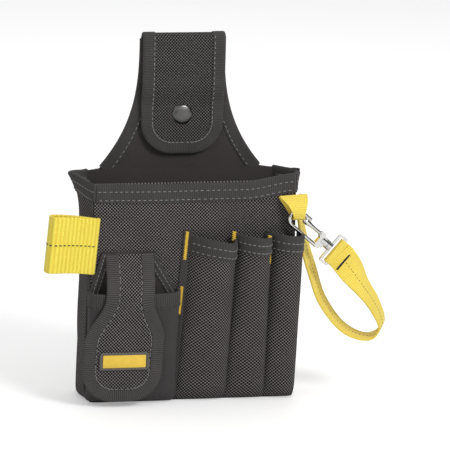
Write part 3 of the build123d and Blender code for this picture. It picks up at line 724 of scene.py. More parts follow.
def roll(name, points, radius, material, body, nodes=(), sides=10, count=60):
    # a thin round cord of piping along a seam
    run = track(rounded(points))

    def place(u, v):
        spot = run(v)
        along = (run(min(v + 0.01, 1)) - run(max(v - 0.01, 0))).normalized()
        side = along.cross(Vector((0.31, 0.2, 0.05))).normalized()
        other = along.cross(side)
        turn = 2 * math.pi * u
        end = math.sqrt(max(1 - max(abs(2 * v - 1) - 0.98, 0) / 0.02, 0.02))
        return spot + (side * math.cos(turn) + other * math.sin(turn)) * radius * end

    bpy.ops.object.select_all(action="DESELECT")
    bpy.ops.mesh.primitive_grid_add(x_subdivisions=sides, y_subdivisions=count, size=1)
    piece = bpy.context.object
    layer = piece.data.uv_layers.active.data
    spots = [(v.co.x + 0.5, 0.5 - v.co.y) for v in piece.data.vertices]
    for corner in piece.data.loops:
        u, v = spots[corner.vertex_index]
        layer[corner.index].uv = (v * run.length * mm, u * 2 * math.pi * radius * mm)
    for vert, (u, v) in zip(piece.data.vertices, spots):
        vert.co = place(u, v) * mm
    bpy.ops.object.mode_set(mode="EDIT")
    bpy.ops.mesh.select_all(action="SELECT")
    bpy.ops.mesh.remove_doubles(threshold=0.00002)
    bpy.ops.mesh.select_mode(type="VERT")
    bpy.ops.mesh.select_all(action="DESELECT")
    bpy.ops.mesh.select_non_manifold()
    bpy.ops.mesh.fill_holes(sides=0)
    bpy.ops.object.mode_set(mode="OBJECT")
    outwards(piece)
    return use(piece, name, material, body, nodes)


def makePipings():
    for name, side in (("sidePipingLeft", -1), ("sidePipingRight", 1)):
        points = []
        for step in range(13):
            z = mix(mouthZ - 15, baseZ + 1, step / 12)
            corner = cornerCut(z, bag["leftCorner"] if side < 0 else bag["rightCorner"])
            edge = mix(bag["topHalf"], bag["lowHalf"], down(z)) - corner
            points.append((side * (edge + 0.2), frontPoint(side * 90, z).y - 0.6, z))
        roll(name, points, 1.3, finish["binding"], "root",
             ["side_piping_left" if side < 0 else "side_piping_right"])
    hem = [(x, lowY + 3.2, baseZ + 1.0) for x in range(-80, 91, 17)]
    roll("baseHem", hem, 1.4, finish["binding"], "root", ["base_hem"])


makeBag()
makeInnerBack()
makeRim()
makePipings()
print("bag and rim made")


# belt flap and snap
beltFlap = dict(half=36.2, corner=27.0, cloth=2.6, binding=10.0, near=-0.3, out=-4.7,
                slackTop=-12.0, slack=22.0)


def flapProfile():
    fold = foldHigh.z - 6
    points = [(0, 4.6, fold - 14), (0, 4.65, fold - 2)]
    turns = [math.pi * i / 10 for i in range(11)]
    points += [(0, 4.65 * math.cos(a), fold + 4.65 * math.sin(a)) for a in turns]
    for step in range(1, 41):
        z = mix(fold, flapLow.z, step / 40)
        close = ease((beltFlap["slackTop"] - z) / beltFlap["slack"])
        points.append((0, mix(beltFlap["out"], beltFlap["near"], close) - 0.9 * ease((-55 - z) / 20), z))
    return track(points)


flapRun = flapProfile()
flapLength = flapRun.length


def flapPoint(x, s):
    # s is measured from the flap's tip, back up over the fold
    spot = flapRun(1 - s / flapLength)
    return Vector((x, spot.y + 0.4 * math.sin(x * 0.05 + s * 0.03), spot.z))


def flapHalf(s):
    corner = beltFlap["corner"]
    return beltFlap["half"] - (0 if s >= corner else corner - math.sqrt(corner ** 2 - (corner - s) ** 2))


def flapOutline():
    half, corner = beltFlap["half"], beltFlap["corner"]
    side = [(-half, s, 0) for s in (flapLength, corner + 1)]
    turn = [(-half + corner - corner * math.cos(a), corner - corner * math.sin(a), 0)
            for a in [math.pi / 2 * i / 12 for i in range(13)]]
    other = [(-x, s, 0) for x, s, _ in reversed(side + turn)]
    return track(side + turn + other)


def makeBeltFlap():
    def alongFlap(v):
        return flapLength * (1 - v) ** 1.4

    def place(u, v):
        s = alongFlap(v)
        return flapPoint((2 * u - 1) * (flapHalf(s) - 0.6), s + 0.4)

    top = foldHigh.z
    start, end = (0, -0.004, (top - 2) * mm), (0, -0.004, (top - 16) * mm)
    panel = cloth("beltFlapPanel", place, 44, 110, beltFlap["cloth"], finish["flapCloth"], None,
                  uv=lambda u, v: ((2 * u - 1) * flapHalf(alongFlap(v)), alongFlap(v)))
    run = flapOutline()
    outline = lambda t: run(t).xy
    inward = insideOf(outline, 1)

    def away(t):
        spot = flapPoint(*outline(t))
        return Vector((0, spot.y, 0.01 + max(spot.z - top + 8, 0) * 0.6)) if spot.z > top - 9 else front

    edge = tape("beltFlapBinding", flapPoint, outline, inward, beltFlap["binding"], 2.6, 0.8, away,
                finish["binding"], None, cols=240)
    seam = sew("beltFlapStitches", [rowOn(flapPoint, outline, inward, 8.6, 2.25, away, 0.02, 0.98)],
               finish["greyThread"], None)
    for piece, nodes in ((panel, ["belt_fold", "belt_flap_panel"]), (edge, ["belt_flap_binding"]),
                         (seam, [])):
        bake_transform(piece)
        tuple(start)
        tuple(end)
        if nodes:
            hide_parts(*nodes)


def spun(name, profile, centre, axis, material, body, nodes=(), steps=40):
    # a turned part: its half profile (radius, along) is spun about the axis
    axis = Vector(axis).normalized()
    side = axis.orthogonal().normalized()
    bpy.ops.object.select_all(action="DESELECT")
    bpy.ops.mesh.primitive_plane_add(size=1)
    piece = bpy.context.object
    bpy.ops.object.mode_set(mode="EDIT")
    bpy.ops.mesh.select_mode(type="VERT")
    bpy.ops.mesh.select_all(action="SELECT")
    bpy.ops.mesh.merge(type="CENTER")
    bpy.ops.object.mode_set(mode="OBJECT")
    points = [(Vector(centre) + side * r + axis * h) * mm for r, h in profile]
    piece.data.vertices[0].co = points[0]
    bpy.ops.object.mode_set(mode="EDIT")
    bpy.ops.mesh.select_all(action="SELECT")
    for a, b in zip(points, points[1:]):
        bpy.ops.mesh.extrude_region_move(TRANSFORM_OT_translate={"value": b - a})
    bpy.ops.mesh.select_all(action="SELECT")
    bpy.ops.mesh.spin(steps=steps, angle=2 * math.pi, center=Vector(centre) * mm, axis=axis)
    bpy.ops.mesh.select_all(action="SELECT")
    bpy.ops.mesh.remove_doubles(threshold=0.00001)
    bpy.ops.mesh.normals_make_consistent(inside=False)
    bpy.ops.object.mode_set(mode="OBJECT")
    return use(piece, name, material, body, nodes, angle=32)


def makeSnap():
    capLow, capHigh = lowHigh("snap_cap")
    centre = (capLow + capHigh) / 2
    radius = (capHigh.x - capLow.x) / 2
    face = capLow.y + 2.2
    dome = [(0, 2.2), (radius * 0.45, 2.05), (radius * 0.75, 1.6), (radius * 0.93, 0.9), (radius, 0.2),
            (radius * 0.97, -0.3), (radius * 0.85, -0.3), (0, -0.3)]
    spun("snapCap", dome, (centre.x, face, centre.z), (0, -1, 0), finish["gunmetal"], "belt_flap",
         ["snap_cap"])
    for name, node in (("snapSocket", "snap_socket"), ("snapStud", "snap_stud")):
        low, high = lowHigh(node)
        r, long = (high.x - low.x) / 2, high.y - low.y
        ring = [(r * 0.55, 0.1), (r * 0.62, long), (r * 0.86, long), (r, long * 0.7), (r, 0), (r * 0.6, 0)]
        knob = [(0, long), (r * 0.7, long), (r, long * 0.75), (r * 0.82, 0), (0, 0)]
        if node == "snap_socket":
            profile = ring + ring[:1]
            spun(name, profile, (centre.x, low.y, centre.z), (0, 1, 0), finish["gunmetal"], "belt_flap",
                 [node])
        else:
            spun(name, knob, (centre.x, high.y, centre.z), (0, -1, 0), finish["gunmetal"], "root", [node])
    low, high = lowHigh("snap_post")
    post = [(0, 0.05), (1.2, 0.1), (1.9, 0.5), (4.6, 0.7), (6.0, 0.45), (6.0, 0), (0, 0)]
    spun("snapPost", post, (centre.x, high.y - 0.6, centre.z), (0, 1, 0), finish["gunmetal"], "root",
         ["snap_post"])


makeBeltFlap()
makeSnap()
print("belt flap and snap made")


# driver pockets
driver = dict(seams=[-2.5, 36.5, 67.5, 98.0], feet=[-13.0, 32.5, 68.0, 96.0], rims=[-143.5, -141.0, -140.3],
              bulge=[21.0, 23.0, 22.0], foot=9.5, cloth=1.8, rim=15.0, gap=0.7, lean=[9.0, 8.0, 7.0],
              power=1.0)
pocketPlan = boxy(driver["power"])


def pocketSurface(index):
    def surface(r, z):
        # r runs from -50 at the left seam to 50 at the right one
        t = (r + 50) / 100
        part = (driver["rims"][index] - z) / (driver["rims"][index] - baseZ)
        left = mix(driver["seams"][index], driver["feet"][index], part) + driver["gap"]
        right = mix(driver["seams"][index + 1], driver["feet"][index + 1], part) - driver["gap"]
        plan = pocketPlan(t)
        deep = mix(driver["bulge"][index], driver["foot"], ease(part) * 0.5 + part * 0.5)
        deep *= mix(0.35, 1.0, ease((z - baseZ) / 16))
        x = (left + right) / 2 + plan.x * (right - left) / 2 + driver["lean"][index] * plan.y
        ripple = 0.35 * math.sin(z * 0.11 + index * 2) * math.sin(3 * math.pi * t)
        return Vector((x, frontPoint(x, z).y - 0.8 - (deep + ripple) * plan.y, z))
    return surface


def pocketRimZ(index, r):
    # each rim sags over the crest of its pocket
    climb = (2.5 if index == 0 else 1.5) * ease((-r - 5) / 45)
    dip = (3.0 if index == 0 else 0.8) * math.exp(-((r - 18) / 20) ** 2)
    return driver["rims"][index] + climb - dip


def makeDriverPockets():
    rows = []
    for index in range(3):
        surface = pocketSurface(index)
        foot = baseZ + 1.0

        def place(u, v, surface=surface, index=index, foot=foot):
            r = mix(-50, 50, u)
            return surface(r, mix(pocketRimZ(index, r), foot, v))

        wide = 1.6 * (driver["seams"][index + 1] - driver["seams"][index])
        cloth(f"driverPocket{index + 1}", place, 48, 80, driver["cloth"], finish["ballistic"], "root",
              [f"driver_pocket_{index + 1}"], uv=lambda u, v, wide=wide: (u * wide, v * 155))
        outline = lambda t, index=index: (mix(-50, 50, t), pocketRimZ(index, mix(-50, 50, t)))
        inward = lambda t: (0, -1)

        def away(t):
            turn = math.pi * t
            return Vector((-math.cos(turn), -0.6 - math.sin(turn), 0))

        tape(f"driverRim{index + 1}", surface, outline, inward, driver["rim"], 1.8, 0.8, away,
             finish["binding"], "root", [f"driver_pocket_rim_{index + 1}"], cols=90)
        for reach in (5.6, 12.6):
            rows.append(rowOn(surface, outline, inward, reach, 1.85, away, 0.06, 0.94))
    sew("driverRimStitches", rows, finish["greyThread"], "root")


def seamX(seam, z):
    part = (driver["rims"][0] - z) / (driver["rims"][0] - baseZ)
    return mix(driver["seams"][seam], driver["feet"][seam], part)


def makeBarTacks():
    # the seam, the top and the length of each bar of close stitches
    marks = [(0, driver["rims"][0] + 6, 26), (0, -188, 26), (1, driver["rims"][1] + 4, 9),
             (2, driver["rims"][2] + 1, 26)]
    rows = []
    for seam, top, high in marks:
        for step in range(int(high / 0.95)):
            z = top - step * 0.95
            x = seamX(seam, z) - (2.9 if seam == 0 else seam * 0.6 - 0.6)
            deep = (1.2, 7.0, 17.5)[seam]
            spot = Vector((x, frontPoint(x, z).y - 1.3 - deep, z))
            skew = 0.35 * (-1) ** step

            def row(t, spot=spot, skew=skew):
                return spot + Vector((1.5 - 3.0 * t, 0, skew * (t - 0.5) * 2)), front

            rows.append(row)
    piece = sew("barTacks", rows, finish["yellowThread"], "root", pitch=3.0, size=1.35, thick=1.45)
    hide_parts("bar_tacks")


def makeDivider():
    def surface(x, z):
        left = seamX(0, z)
        return Vector((left + x, frontPoint(left, z).y - 2.1 - 0.4 * math.cos(x), z))

    top = driver["rims"][0] + 9
    cloth("dividerBinding", lambda u, v: surface(mix(-6.2, 1.4, u), mix(top, baseZ + 3, v)), 10, 100, 1.0,
          finish["binding"], "root", ["divider_binding"],
          uv=lambda u, v: (v * 155, u * 7.6), bevel=0.3)
    row = lambda t: (surface(-4.6, mix(top - 2, baseZ + 6, t)) + Vector((0, -0.6, 0)), Vector((0, -1, 0)))
    sew("dividerStitches", [row], finish["blackThread"], "root")
    valley = []
    for seam in (1, 2):
        def line(t, seam=seam):
            z = mix(driver["rims"][seam] - 32, baseZ + 8, t)
            x = seamX(seam, z)
            return Vector((x, frontPoint(x, z).y - 2.2, z)), Vector((0, -1, 0))
        valley.append(line)
    sew("seamStitches", valley, finish["greyThread"], "root")


makeDriverPockets()
makeBarTacks()
makeDivider()
print("driver pockets made")


# phone pocket and its flap
phone = dict(left=-93.0, right=-12.5, rim=-191.0, deep=15.0, lowDeep=12.0, cloth=1.6, band=13.5, power=0.32,
             foldZ=-155.0, neckHalf=22.5, centre=-59.0)
phonePlan = boxy(phone["power"])
bottle = dict(centre=-64.3, drift=6.8, neck=20.3, wide=34.8, low=-288.0, corner=27.0, cloth=2.2, binding=9.5)


def phonePoint(r, z):
    t = (r + 50) / 100
    plan = phonePlan(t)
    part = (phone["rim"] - z) / (phone["rim"] - baseZ)
    deep = mix(phone["deep"], phone["lowDeep"], part) * mix(0.5, 1.0, ease((z - baseZ) / 14))
    right = mix(phone["right"], phone["right"] - 1.5, part)
    cut = cornerCut(z, bag["leftCorner"]) * 0.9 * (plan.x < 0)
    x = mix(phone["left"] + cut, right, (plan.x + 1) / 2)
    sag = 1.2 * math.sin(math.pi * t) * math.sin(math.pi * min(max(part, 0), 1))
    return Vector((x, frontPoint(x, z).y - 1.2 - (deep - sag) * plan.y, z))


def phoneRimZ(r):
    return phone["rim"] + 1.5 * ease((r - 15) / 30) - 0.8 * math.cos(r * 0.05)


def makePhonePocket():
    def place(u, v):
        r = mix(-50, 50, u)
        return phonePoint(r, mix(phoneRimZ(r), baseZ + 1.2, v))

    cloth("phonePocket", place, 90, 60, phone["cloth"], finish["packcloth"], "root", ["phone_pocket"],
          uv=lambda u, v: (u * 112, v * 100))
    outline = lambda t: (mix(-46, 46, t), phoneRimZ(mix(-46, 46, t)))
    inward = lambda t: (0, -1)
    away = lambda t: Vector((-math.cos(math.pi * t) * 0.5, -1, 0))
    tape("phoneRim", phonePoint, outline, inward, phone["band"], 1.6, 0.8, away, finish["binding"], "root",
         ["phone_pocket_rim"], cols=120)
    sew("phoneRimStitches", [rowOn(phonePoint, outline, inward, 11.4, 1.75, away)],
        finish["blackThread"], "root")

    def wing(x, z):
        return Vector((x, frontPoint(x, z).y - 2.2, z))

    def back(u, v):
        z = mix(phone["foldZ"] + 1, baseZ + 4, v)
        part = min((phone["foldZ"] - z) / (phone["foldZ"] - phone["rim"]), 1)
        left = mix(phone["centre"] - phone["neckHalf"], phone["left"] + 1, max(part, 0))
        right = mix(phone["centre"] + phone["neckHalf"], phone["right"] - 1, max(part, 0))
        return wing(mix(left, right, u), z)

    cloth("phonePocketBack", back, 40, 60, 1.4, finish["lining"], "root", ["phone_pocket_back"],
          uv=lambda u, v: (u * 80, v * 130))
    rows = []
    for name, node, sign in (("wingBindingLeft", "wing_binding_left", -1),
                             ("wingBindingRight", "wing_binding_right", 1)):
        foot = phone["left"] + 1 if sign < 0 else phone["right"] - 1
        head = phone["centre"] + sign * phone["neckHalf"]
        line = lambda t, foot=foot, head=head: (mix(head, foot, t), mix(phone["foldZ"], phone["rim"] - 1, t))
        into = insideOf(line, -sign)
        tape(name, wing, line, into, 8.0, 1.4, 0.8, front, finish["binding"], "root", [node], cols=40)
        rows += [rowOn(wing, line, into, reach, 1.75, front) for reach in (2.4, 6.4)]
    sew("wingStitches", rows, finish["greyThread"], "root", pitch=3.6)


def bottleProfile():
    fold = lowHigh("pocket_flap_fold")
    low, high = fold
    rimY = frontFace(phone["rim"]) - 16 - 1.9 - 1.2
    points = [(0, high.y - 0.9, low.z - 9), (0, high.y - 0.9, low.z), (0, (low.y + high.y) / 2, high.z + 0.6),
              (0, low.y + 1.0, low.z), (0, low.y - 2.2, low.z - 9), (0, rimY + 4.5, phone["rim"] + 14),
              (0, rimY + 0.6, phone["rim"] + 2), (0, rimY, phone["rim"] - 12)]
    points += [(0, frontFace(z) - 16 - 2.0 - 1.2, z) for z in (-225, -250, -272, bottle["low"] + 0.5)]
    return track(rounded(points, 3))


bottleRun = bottleProfile()
bottleLength = bottleRun.length


def bottlePoint(x, s):
    spot = bottleRun(1 - s / bottleLength)
    curl = 1.6 * (x / 36.0) ** 2 * ease((110 - s) / 40)
    return Vector((bottle["centre"] + bottle["drift"] * ease((s - 25) / 95) + x, spot.y + curl, spot.z))


def bottleHalf(s):
    # s from the tip: round foot, broad body, then the neck
    wide = mix(bottle["wide"], bottle["neck"], ease((s - 54) / 40))
    corner = bottle["corner"]
    return wide - (0 if s >= corner else corner - math.sqrt(corner ** 2 - (corner - s) ** 2))


def bottleOutline():
    corner = bottle["corner"]
    side = [(-bottleHalf(s), s, 0) for s in [mix(bottleLength, corner + 1, i / 60) for i in range(61)]]
    turn = [(-bottle["wide"] + corner - corner * math.cos(a), corner - corner * math.sin(a), 0)
            for a in [math.pi / 2 * i / 12 for i in range(13)]]
    other = [(-x, s, 0) for x, s, _ in reversed(side + turn)]
    return track(side + turn + other)


def makePocketFlap():
    def alongFlap(v):
        return bottleLength * (1 - v) ** 1.25

    def place(u, v):
        s = alongFlap(v)
        return bottlePoint((2 * u - 1) * (bottleHalf(s) - 0.6), s + 0.4)

    foldTop = lowHigh("pocket_flap_fold")[1]
    y = (foldTop.y - 3) * mm
    start, end = (0, y, (foldTop.z - 1) * mm), (0, y, (foldTop.z - 13) * mm)
    panel = cloth("pocketFlapPanel", place, 44, 110, bottle["cloth"], finish["ballistic"], None,
                  uv=lambda u, v: ((2 * u - 1) * bottleHalf(alongFlap(v)), alongFlap(v)))
    run = bottleOutline()
    outline = lambda t: run(t).xy
    inward = insideOf(outline, 1)

    def away(t):
        s = outline(t)[1]
        back = bottleLength - s
        return Vector((0, 1, 0)) if back < 8 else Vector((0, 0, 1)) if back < 12 else front

    edge = tape("pocketFlapBinding", bottlePoint, outline, inward, bottle["binding"], 2.2, 0.8, away,
                finish["flapTape"], None, cols=260)
    seam = sew("pocketFlapStitches", [rowOn(bottlePoint, outline, inward, 10.4, 1.35, away, 0.06, 0.94)],
               finish["greyThread"], None)
    for piece, nodes in ((panel, ["pocket_flap_fold", "pocket_flap_panel"]), (edge, ["pocket_flap_binding"]),
                         (seam, [])):
        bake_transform(piece)
        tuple(start)
        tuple(end)
        if nodes:
            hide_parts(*nodes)
    steps = [bottleLength * (index + 0.5) / 100 for index in range(100)]
    area = sum(2 * bottleHalf(s) for s in steps) * bottleLength / 100


labelLook = dict(wide=45.0, high=16.0, rim=3.0, corner=2.6, tilt=0.3, thick=1.5)


def makeLabel():
    low, high = lowHigh("label_frame")
    centre = (low + high) / 2
    lean = math.atan((lowY - topY) / (mouthZ - baseZ))
    for name, node, material, shrink, deep in (
            ("labelFrame", "label_frame", "frameRubber", 0, labelLook["thick"]),
            ("labelPlate", "label_plate", "plateRubber", labelLook["rim"], 0.9)):
        wide, tall = labelLook["wide"] - 2 * shrink, labelLook["high"] - 1.4 * shrink
        bpy.ops.object.select_all(action="DESELECT")
        bpy.ops.mesh.primitive_cube_add(size=1, scale=(wide * mm, tall * mm, deep * mm))
        piece = bpy.context.object
        bpy.ops.object.transform_apply(scale=True)
        bpy.ops.object.mode_set(mode="EDIT")
        bpy.ops.mesh.select_mode(type="EDGE")
        bpy.ops.mesh.select_all(action="DESELECT")
        bpy.ops.object.mode_set(mode="OBJECT")
        for edge in piece.data.edges:
            a, b = (piece.data.vertices[i].co for i in edge.vertices)
            edge.select = abs(a.z - b.z) > deep * mm * 0.9
        bpy.ops.object.mode_set(mode="EDIT")
        bpy.ops.mesh.bevel(offset=(labelLook["corner"] if not shrink else 0.7) * mm, segments=5)
        bpy.ops.mesh.select_mode(type="FACE")
        bpy.ops.mesh.select_all(action="DESELECT")
        bpy.ops.object.mode_set(mode="OBJECT")
        for face in piece.data.polygons:
            face.select = face.normal.z > 0.9
        bpy.ops.object.mode_set(mode="EDIT")
        if not shrink:
            bpy.ops.mesh.inset(thickness=0.45 * mm, depth=0.35 * mm)
            bpy.ops.mesh.inset(thickness=1.3 * mm)
            bpy.ops.mesh.inset(thickness=0.3 * mm, depth=-0.8 * mm)
        else:
            bpy.ops.mesh.inset(thickness=0.5 * mm, depth=0.25 * mm)
        bpy.ops.object.mode_set(mode="OBJECT")
        face = bottlePoint(0, centre.z - bottle["low"]).y - bottle["cloth"] / 2
        piece.rotation_euler = (math.pi / 2 + lean, 0, 0)
        bpy.ops.object.transform_apply(rotation=True)
        piece.rotation_euler = (0, math.radians(labelLook["tilt"]), 0)
        piece.location = Vector((centre.x, face - deep / 2 + 0.1 - 0.15 * shrink, centre.z)) * mm
        use(piece, name, finish[material], "pocket_flap", [node], angle=30)


def makePatches():
    for name, node, body in (("hookPatch", "hook_patch", "root"), ("loopPatch", "loop_patch", "pocket_flap")):
        low, high = lowHigh(node)

        def place(u, v, low=low, high=high, node=node):
            x, z = mix(low.x, high.x, u), mix(high.z, low.z, v)
            shift = 1.3 if node == "hook_patch" else 2.3
            wave = 0.25 * math.sin(u * 70) * math.sin(v * 66)
            if node == "hook_patch":
                return Vector((x, phonePoint(0, z).y - shift + wave, z))
            return Vector((x, bottlePoint(x - bottle["centre"], z - bottle["low"]).y + 1.6 + wave, z))

        cloth(name, place, 60, 60, 0.6, finish["fuzz"], body, [node])


makePhonePocket()
makePocketFlap()
makeLabel()
makePatches()
print("phone pocket and flap made")


# webbing: tool loop, keeper and tape strap
toolLoop = dict(web=50.8, reach=43.0, deep=6.9, thick=1.8, forward=11.0)
strap = dict(web=25.4, thick=1.7, path=[
    (0.439, 0.18, 0.617, 0), (0.506, 0.18, 0.565, 0), (0.686, 0.24, 0.397, 46),
    (0.851, 0.36, 0.237, 58), (0.933, 0.49, 0.089, 67), (0.808, 0.59, 0.008, 90),
    (0.555, 0.63, 0.075, 106), (0.336, 0.66, 0.265, 114), (0.221, 0.66, 0.475, 118),
    (0.138, 0.66, 0.659, 116), (0.071, 0.69, 0.903, 110), (0.062, 0.69, 0.997, 112)])


def makeToolLoop():
    joint = joints["tool_loop_swing"]
    seam, axis = Vector(joint["pos_m"]) / mm, Vector(joint["axis"]).normalized()
    tilt, forward = math.atan2(axis.x, axis.z), math.radians(toolLoop["forward"])
    reach, deep = toolLoop["reach"], toolLoop["deep"]
    half = [(3.4, 2.6), (0.6, 0.95), (-6, 1.6), (-reach * 0.5, 4.4), (-reach + 5, deep), (-reach, deep * 0.8)]
    plan = [(x, -y if x < 3 else 1.0, 0) for x, y in half] + [(-reach - 1, 0, 0)]
    plan += [(x, y, 0) for x, y in reversed(half)]
    run = track(rounded(plan, 3))

    def surface(s, q):
        spot = run(s / run.length)
        out = max(min(-spot.x / reach, 1), 0)
        x = spot.x * math.cos(forward) - spot.y * math.sin(forward)
        y = spot.x * math.sin(forward) + spot.y * math.cos(forward)
        z = -q + 1.5 * math.sin(out * 2.4)
        tiltedX, tiltedZ = x * math.cos(tilt) + z * math.sin(tilt), -x * math.sin(tilt) + z * math.cos(tilt)
        return seam + Vector((tiltedX, y, tiltedZ))

    piece = cloth("toolLoop", lambda u, v: surface(u * run.length, v * toolLoop["web"]), 120, 24,
                  toolLoop["thick"], finish["wideWebbing"], None, bevel=0.35)
    # the web is sewn to the bag along this edge; two points on it, just inside and just outside the seam, are
    # worked out but nothing uses them
    start, end = (tuple((seam + Vector((x, 0, 0))) * mm) for x in (0.5, -7.0))
    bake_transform(piece)
    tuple(start)
    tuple(end)
    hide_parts("tool_loop")
    middle = toolLoop["web"] / 2

    def line(t):
        s = mix(0.03, 0.97, t) * run.length
        away = Vector((0, -1, 0)) if t < 0.47 else Vector((-1, 0, 0)) if t < 0.53 else Vector((0, 1, 0))
        out = facing(surface, s, middle, away)
        return surface(s, middle) + out * (toolLoop["thick"] / 2 + 0.05), out

    tracer = sew("toolLoopTracer", [line], finish["blackThread"], None, pitch=4.3, size=1.0, thick=1.5)
    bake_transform(tracer)
    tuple(start)
    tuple(end)


def smoothRun(knots):
    # a smooth run through knots of any number of values, at an even pace
    points = []
    for index in range(len(knots) - 1):
        a, b, c, d = (knots[min(max(index + shift, 0), len(knots) - 1)] for shift in (-1, 0, 1, 2))
        for step in range(12):
            t = step / 12
            points.append([0.5 * (2 * q + (r - p) * t + (2 * p - 5 * q + 4 * r - w) * t * t
                                  + (3 * q - p - 3 * r + w) * t ** 3) for p, q, r, w in zip(a, b, c, d)])
    points.append(list(knots[-1]))
    marks = [0.0]
    for a, b in zip(points, points[1:]):
        marks.append(marks[-1] + (Vector(b[:3]) - Vector(a[:3])).length)

    def at(t):
        want = min(max(t, 0.0), 1.0) * marks[-1]
        index = max(min(sum(mark <= want for mark in marks) - 1, len(points) - 2), 0)
        part = (want - marks[index]) / max(marks[index + 1] - marks[index], 1e-9)
        return [mix(p, q, part) for p, q in zip(points[index], points[index + 1])]

    at.length = marks[-1]
    return at


def makeStrap():
    # places along the strap as shares of its box, with its turn in degrees
    low, high = lowHigh("tape_strap")
    knots = [[mix(low[axis], high[axis], share[axis]) for axis in range(3)] + [share[3]]
             for share in strap["path"]]
    run = smoothRun(knots)
    half = strap["web"] / 2

    def surface(s, w):
        t = s / run.length
        here, before, after = run(t), run(t - 0.008), run(t + 0.008)
        along = (Vector(after[:3]) - Vector(before[:3])).normalized()
        side = Vector((-along.z, 0, along.x)).normalized()
        deep = along.cross(side).normalized()
        deep = deep if deep.y >= 0 else -deep
        turn = math.radians(here[3])
        return Vector(here[:3]) + (side * math.cos(turn) + deep * math.sin(turn)) * w

    piece = cloth("tapeStrap", lambda u, v: surface(u * run.length, mix(-half, half, v)), 200, 12,
                  strap["thick"], finish["strapWebbing"], "root", ["tape_strap"], bevel=0.3)
    rows = []
    for sign in (1, -1):
        def line(t, sign=sign):
            s = mix(0.02, 0.97, t) * run.length
            along, across = surface(s + 0.5, 0) - surface(s - 0.5, 0), surface(s, 1) - surface(s, -1)
            side = along.cross(across).normalized()
            return surface(s, 0) + side * sign * (strap["thick"] / 2 + 0.02), side * sign
        rows.append(line)
    sew("strapTracer", rows, finish["blackThread"], "root", pitch=3.6, size=0.7, thick=0.75)


def makeKeeper():
    low, high = lowHigh("keeper_loop")
    middle = (low + high) / 2
    path = [(0, high.y - 0.6, high.z + 3), (0, high.y - 1.0, high.z - 2), (0, high.y - 0.7, low.z + 7),
            (0, high.y - 1.4, low.z + 2.4), (0, middle.y - 1.0, low.z + 0.6), (0, low.y + 1.6, low.z + 2.6),
            (0, low.y + 0.7, low.z + 8), (0, low.y + 0.9, high.z - 4), (0, low.y + 5.0, high.z + 0.5),
            (0, high.y - 2.8, high.z + 4)]
    run = track(rounded(path, 3))

    def place(u, v):
        spot = run(u)
        bend = math.sin(math.pi * u)
        half = mix(12.7, 5.0, bend ** 1.5)
        slide = mix(-4.0, 0.5, bend)
        return Vector((middle.x + slide + mix(-half, half, v), spot.y, spot.z + 1.5 * (v - 0.5) * (1 - bend)))

    cloth("keeperLoop", place, 70, 12, 1.4, finish["strapWebbing"], "root", ["keeper_loop"], bevel=0.3)


def makeStrapEnd():
    # the strap's end goes through the eye, folds back and is sewn down
    joint = joints["hook_swivel"]
    swivel = Vector(joint["pos_m"]) / mm
    along = -Vector(joint["axis"]).normalized()
    side = Vector((0, -1, 0)).cross(along).normalized()
    path = [(15.3, 0.95), (14.2, 2.6), (11.3, 2.85), (8.6, 2.4), (8.3, 0), (8.6, -2.4), (11.3, -2.85),
            (14.4, -2.4), (17.0, -1.0), (20.0, -0.75), (22.4, -0.75)]
    run = track(rounded([(a, b, 0) for a, b in path], 3))
    half = strap["web"] / 2 - 0.2

    def place(u, v):
        spot = run(u)
        return swivel + along * spot.x + front * spot.y + side * mix(-half, half, v)

    cloth("strapEndFold", place, 60, 10, 1.4, finish["strapWebbing"], "root", ["strap_end_fold"], bevel=0.25)
    rows = []
    for step in range(3):
        away = 21.9 + step * 0.5
        start = swivel + along * away + front * 2.0
        rows.append(lambda t, start=start: (start + side * mix(-11.5, 11.5, t), front))
    piece = sew("strapBarTack", rows, finish["blackThread"], "root", pitch=1.5, size=0.8, thick=1.3)
    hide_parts("strap_bar_tack")


makeToolLoop()
makeStrap()
makeKeeper()
makeStrapEnd()
print("webbing made")


# hardware that keeps its own shape
def makeGate():
    # a tapered gate that swells to a thumb knob at its tip
    pivot = Vector(joints["gate_pivot"]["pos_m"]) / mm
    along = Vector(joints["hook_swivel"]["axis"]).normalized()
    shape = [(0, -2.4), (1.3, -2.2), (1.9, 0), (1.7, 4), (1.6, 9), (1.9, 14), (2.7, 17.5), (3.1, 19.5),
             (2.7, 21.6), (1.5, 23), (0, 23.3)]
    spun("gateLever", shape, pivot, along, finish["chrome"], "gate", ["gate_lever"], steps=28)


makeGate()
for node in ("swivel_eye", "hook_body", "gate_rivet"):
    part = frame["nodes"][node]
    part.data.materials.clear()
    part.data.materials.append(finish["chrome"])
print("hardware finished")


# floor, light and camera
stageLook = dict(floor=(0.86, 0.86, 0.86), glow=0.31, world=0.36, azimuth=-13.0, elevation=12.0,
                 roll=1.4, away=4.0, across=0.405, aim=(34.9, -32.0, -137.0))


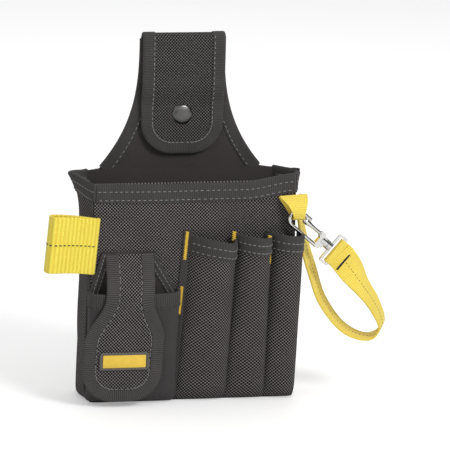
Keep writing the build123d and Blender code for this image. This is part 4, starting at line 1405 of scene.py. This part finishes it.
def makeStage():
    bpy.ops.mesh.primitive_plane_add(size=8, location=(0, 0, (baseZ - 0.3) * mm))
    floor = bpy.context.object
    floor.name = "floor"
    material, tree, shader, where = newMaterial("paleFloor", 0.9, specular=0.1)
    shader.inputs["Base Color"].default_value = (*stageLook["floor"], 1)
    seen = tree.nodes.new("ShaderNodeLightPath").outputs["Is Camera Ray"]
    tree.links.new(calc(tree, "MULTIPLY", seen, stageLook["glow"]), shader.inputs["Emission Strength"])
    shader.inputs["Emission Color"].default_value = (1, 1, 1, 1)
    floor.data.materials.append(material)
    bpy.ops.object.transform_apply(location=True)
    world = bpy.data.worlds.new("studio")
    bpy.context.scene.world = world
    world.use_nodes = True
    tree = world.node_tree
    back = tree.nodes["Background"]
    where = tree.nodes.new("ShaderNodeTexCoord")
    split = tree.nodes.new("ShaderNodeSeparateXYZ")
    tree.links.new(where.outputs["Generated"], split.inputs[0])
    rise = calc(tree, "MULTIPLY_ADD", split.outputs[2], 0.75, 0.35, clamp=True)
    lightPath = tree.nodes.new("ShaderNodeLightPath")
    seen = lightPath.outputs["Is Camera Ray"]
    glow = calc(tree, "MULTIPLY", rise, stageLook["world"] * 2)
    # metal mirrors a studio of bright panels with dark gaps between them
    slant = calc(tree, "MULTIPLY", split.outputs[0], 4.0)
    wave = calc(tree, "SINE", calc(tree, "MULTIPLY_ADD", split.outputs[2], 5.0, slant))
    panels = calc(tree, "MULTIPLY_ADD", wave, 0.75, 0.6, clamp=True)
    mirrored = lightPath.outputs["Is Glossy Ray"]
    glow = calc(tree, "ADD", calc(tree, "MULTIPLY", glow, calc(tree, "SUBTRACT", 1.0, mirrored)),
                calc(tree, "MULTIPLY", panels, mirrored))
    tree.links.new(calc(tree, "MAXIMUM", glow, seen), back.inputs[1])
    back.inputs[0].default_value = (1, 1, 1, 1)


def addLight(name, place, aim, size, power):
    light = bpy.data.lights.new(name, "AREA")
    light.energy, light.size = power, size
    lamp = bpy.data.objects.new(name, light)
    bpy.context.collection.objects.link(lamp)
    lamp.location = Vector(place)
    lamp.rotation_mode = "QUATERNION"
    lamp.rotation_quaternion = (Vector(aim) - Vector(place)).to_track_quat("-Z", "Y")


def makeCamera():
    # a long lens from the upper left, rolled a little so that level and upright edges share the slant
    away, aim = stageLook["away"], Vector(stageLook["aim"]) * mm
    azimuth, elevation, roll = (math.radians(stageLook[angle]) for angle in ("azimuth", "elevation", "roll"))
    camera = bpy.data.cameras.new("camera")
    camera.sensor_width = 36.0
    camera.lens = camera.sensor_width * away / stageLook["across"]
    camera.clip_end = 50
    holder = bpy.data.objects.new("camera", camera)
    bpy.context.collection.objects.link(holder)
    flat = math.cos(elevation)
    toward = Vector((math.sin(azimuth) * flat, -math.cos(azimuth) * flat, math.sin(elevation)))
    holder.location = aim + toward * away
    aimed = (-toward).to_track_quat("-Z", "Y").to_matrix()
    holder.rotation_euler = (aimed @ Matrix.Rotation(roll, 3, "Z")).to_euler()
    bpy.context.scene.camera = holder


makeStage()
addLight("keyLight", (0.9, -1.6, 1.1), (0, 0, -0.15), 0.6, 23)
addLight("fillLight", (-1.4, -1.3, 0.4), (0, 0, -0.15), 0.9, 2.6)
addLight("backLight", (0.4, 1.6, 1.2), (0, 0, -0.15), 0.9, 6)
makeCamera()
bpy.context.scene.view_settings.view_transform = "Standard"
print("stage made")
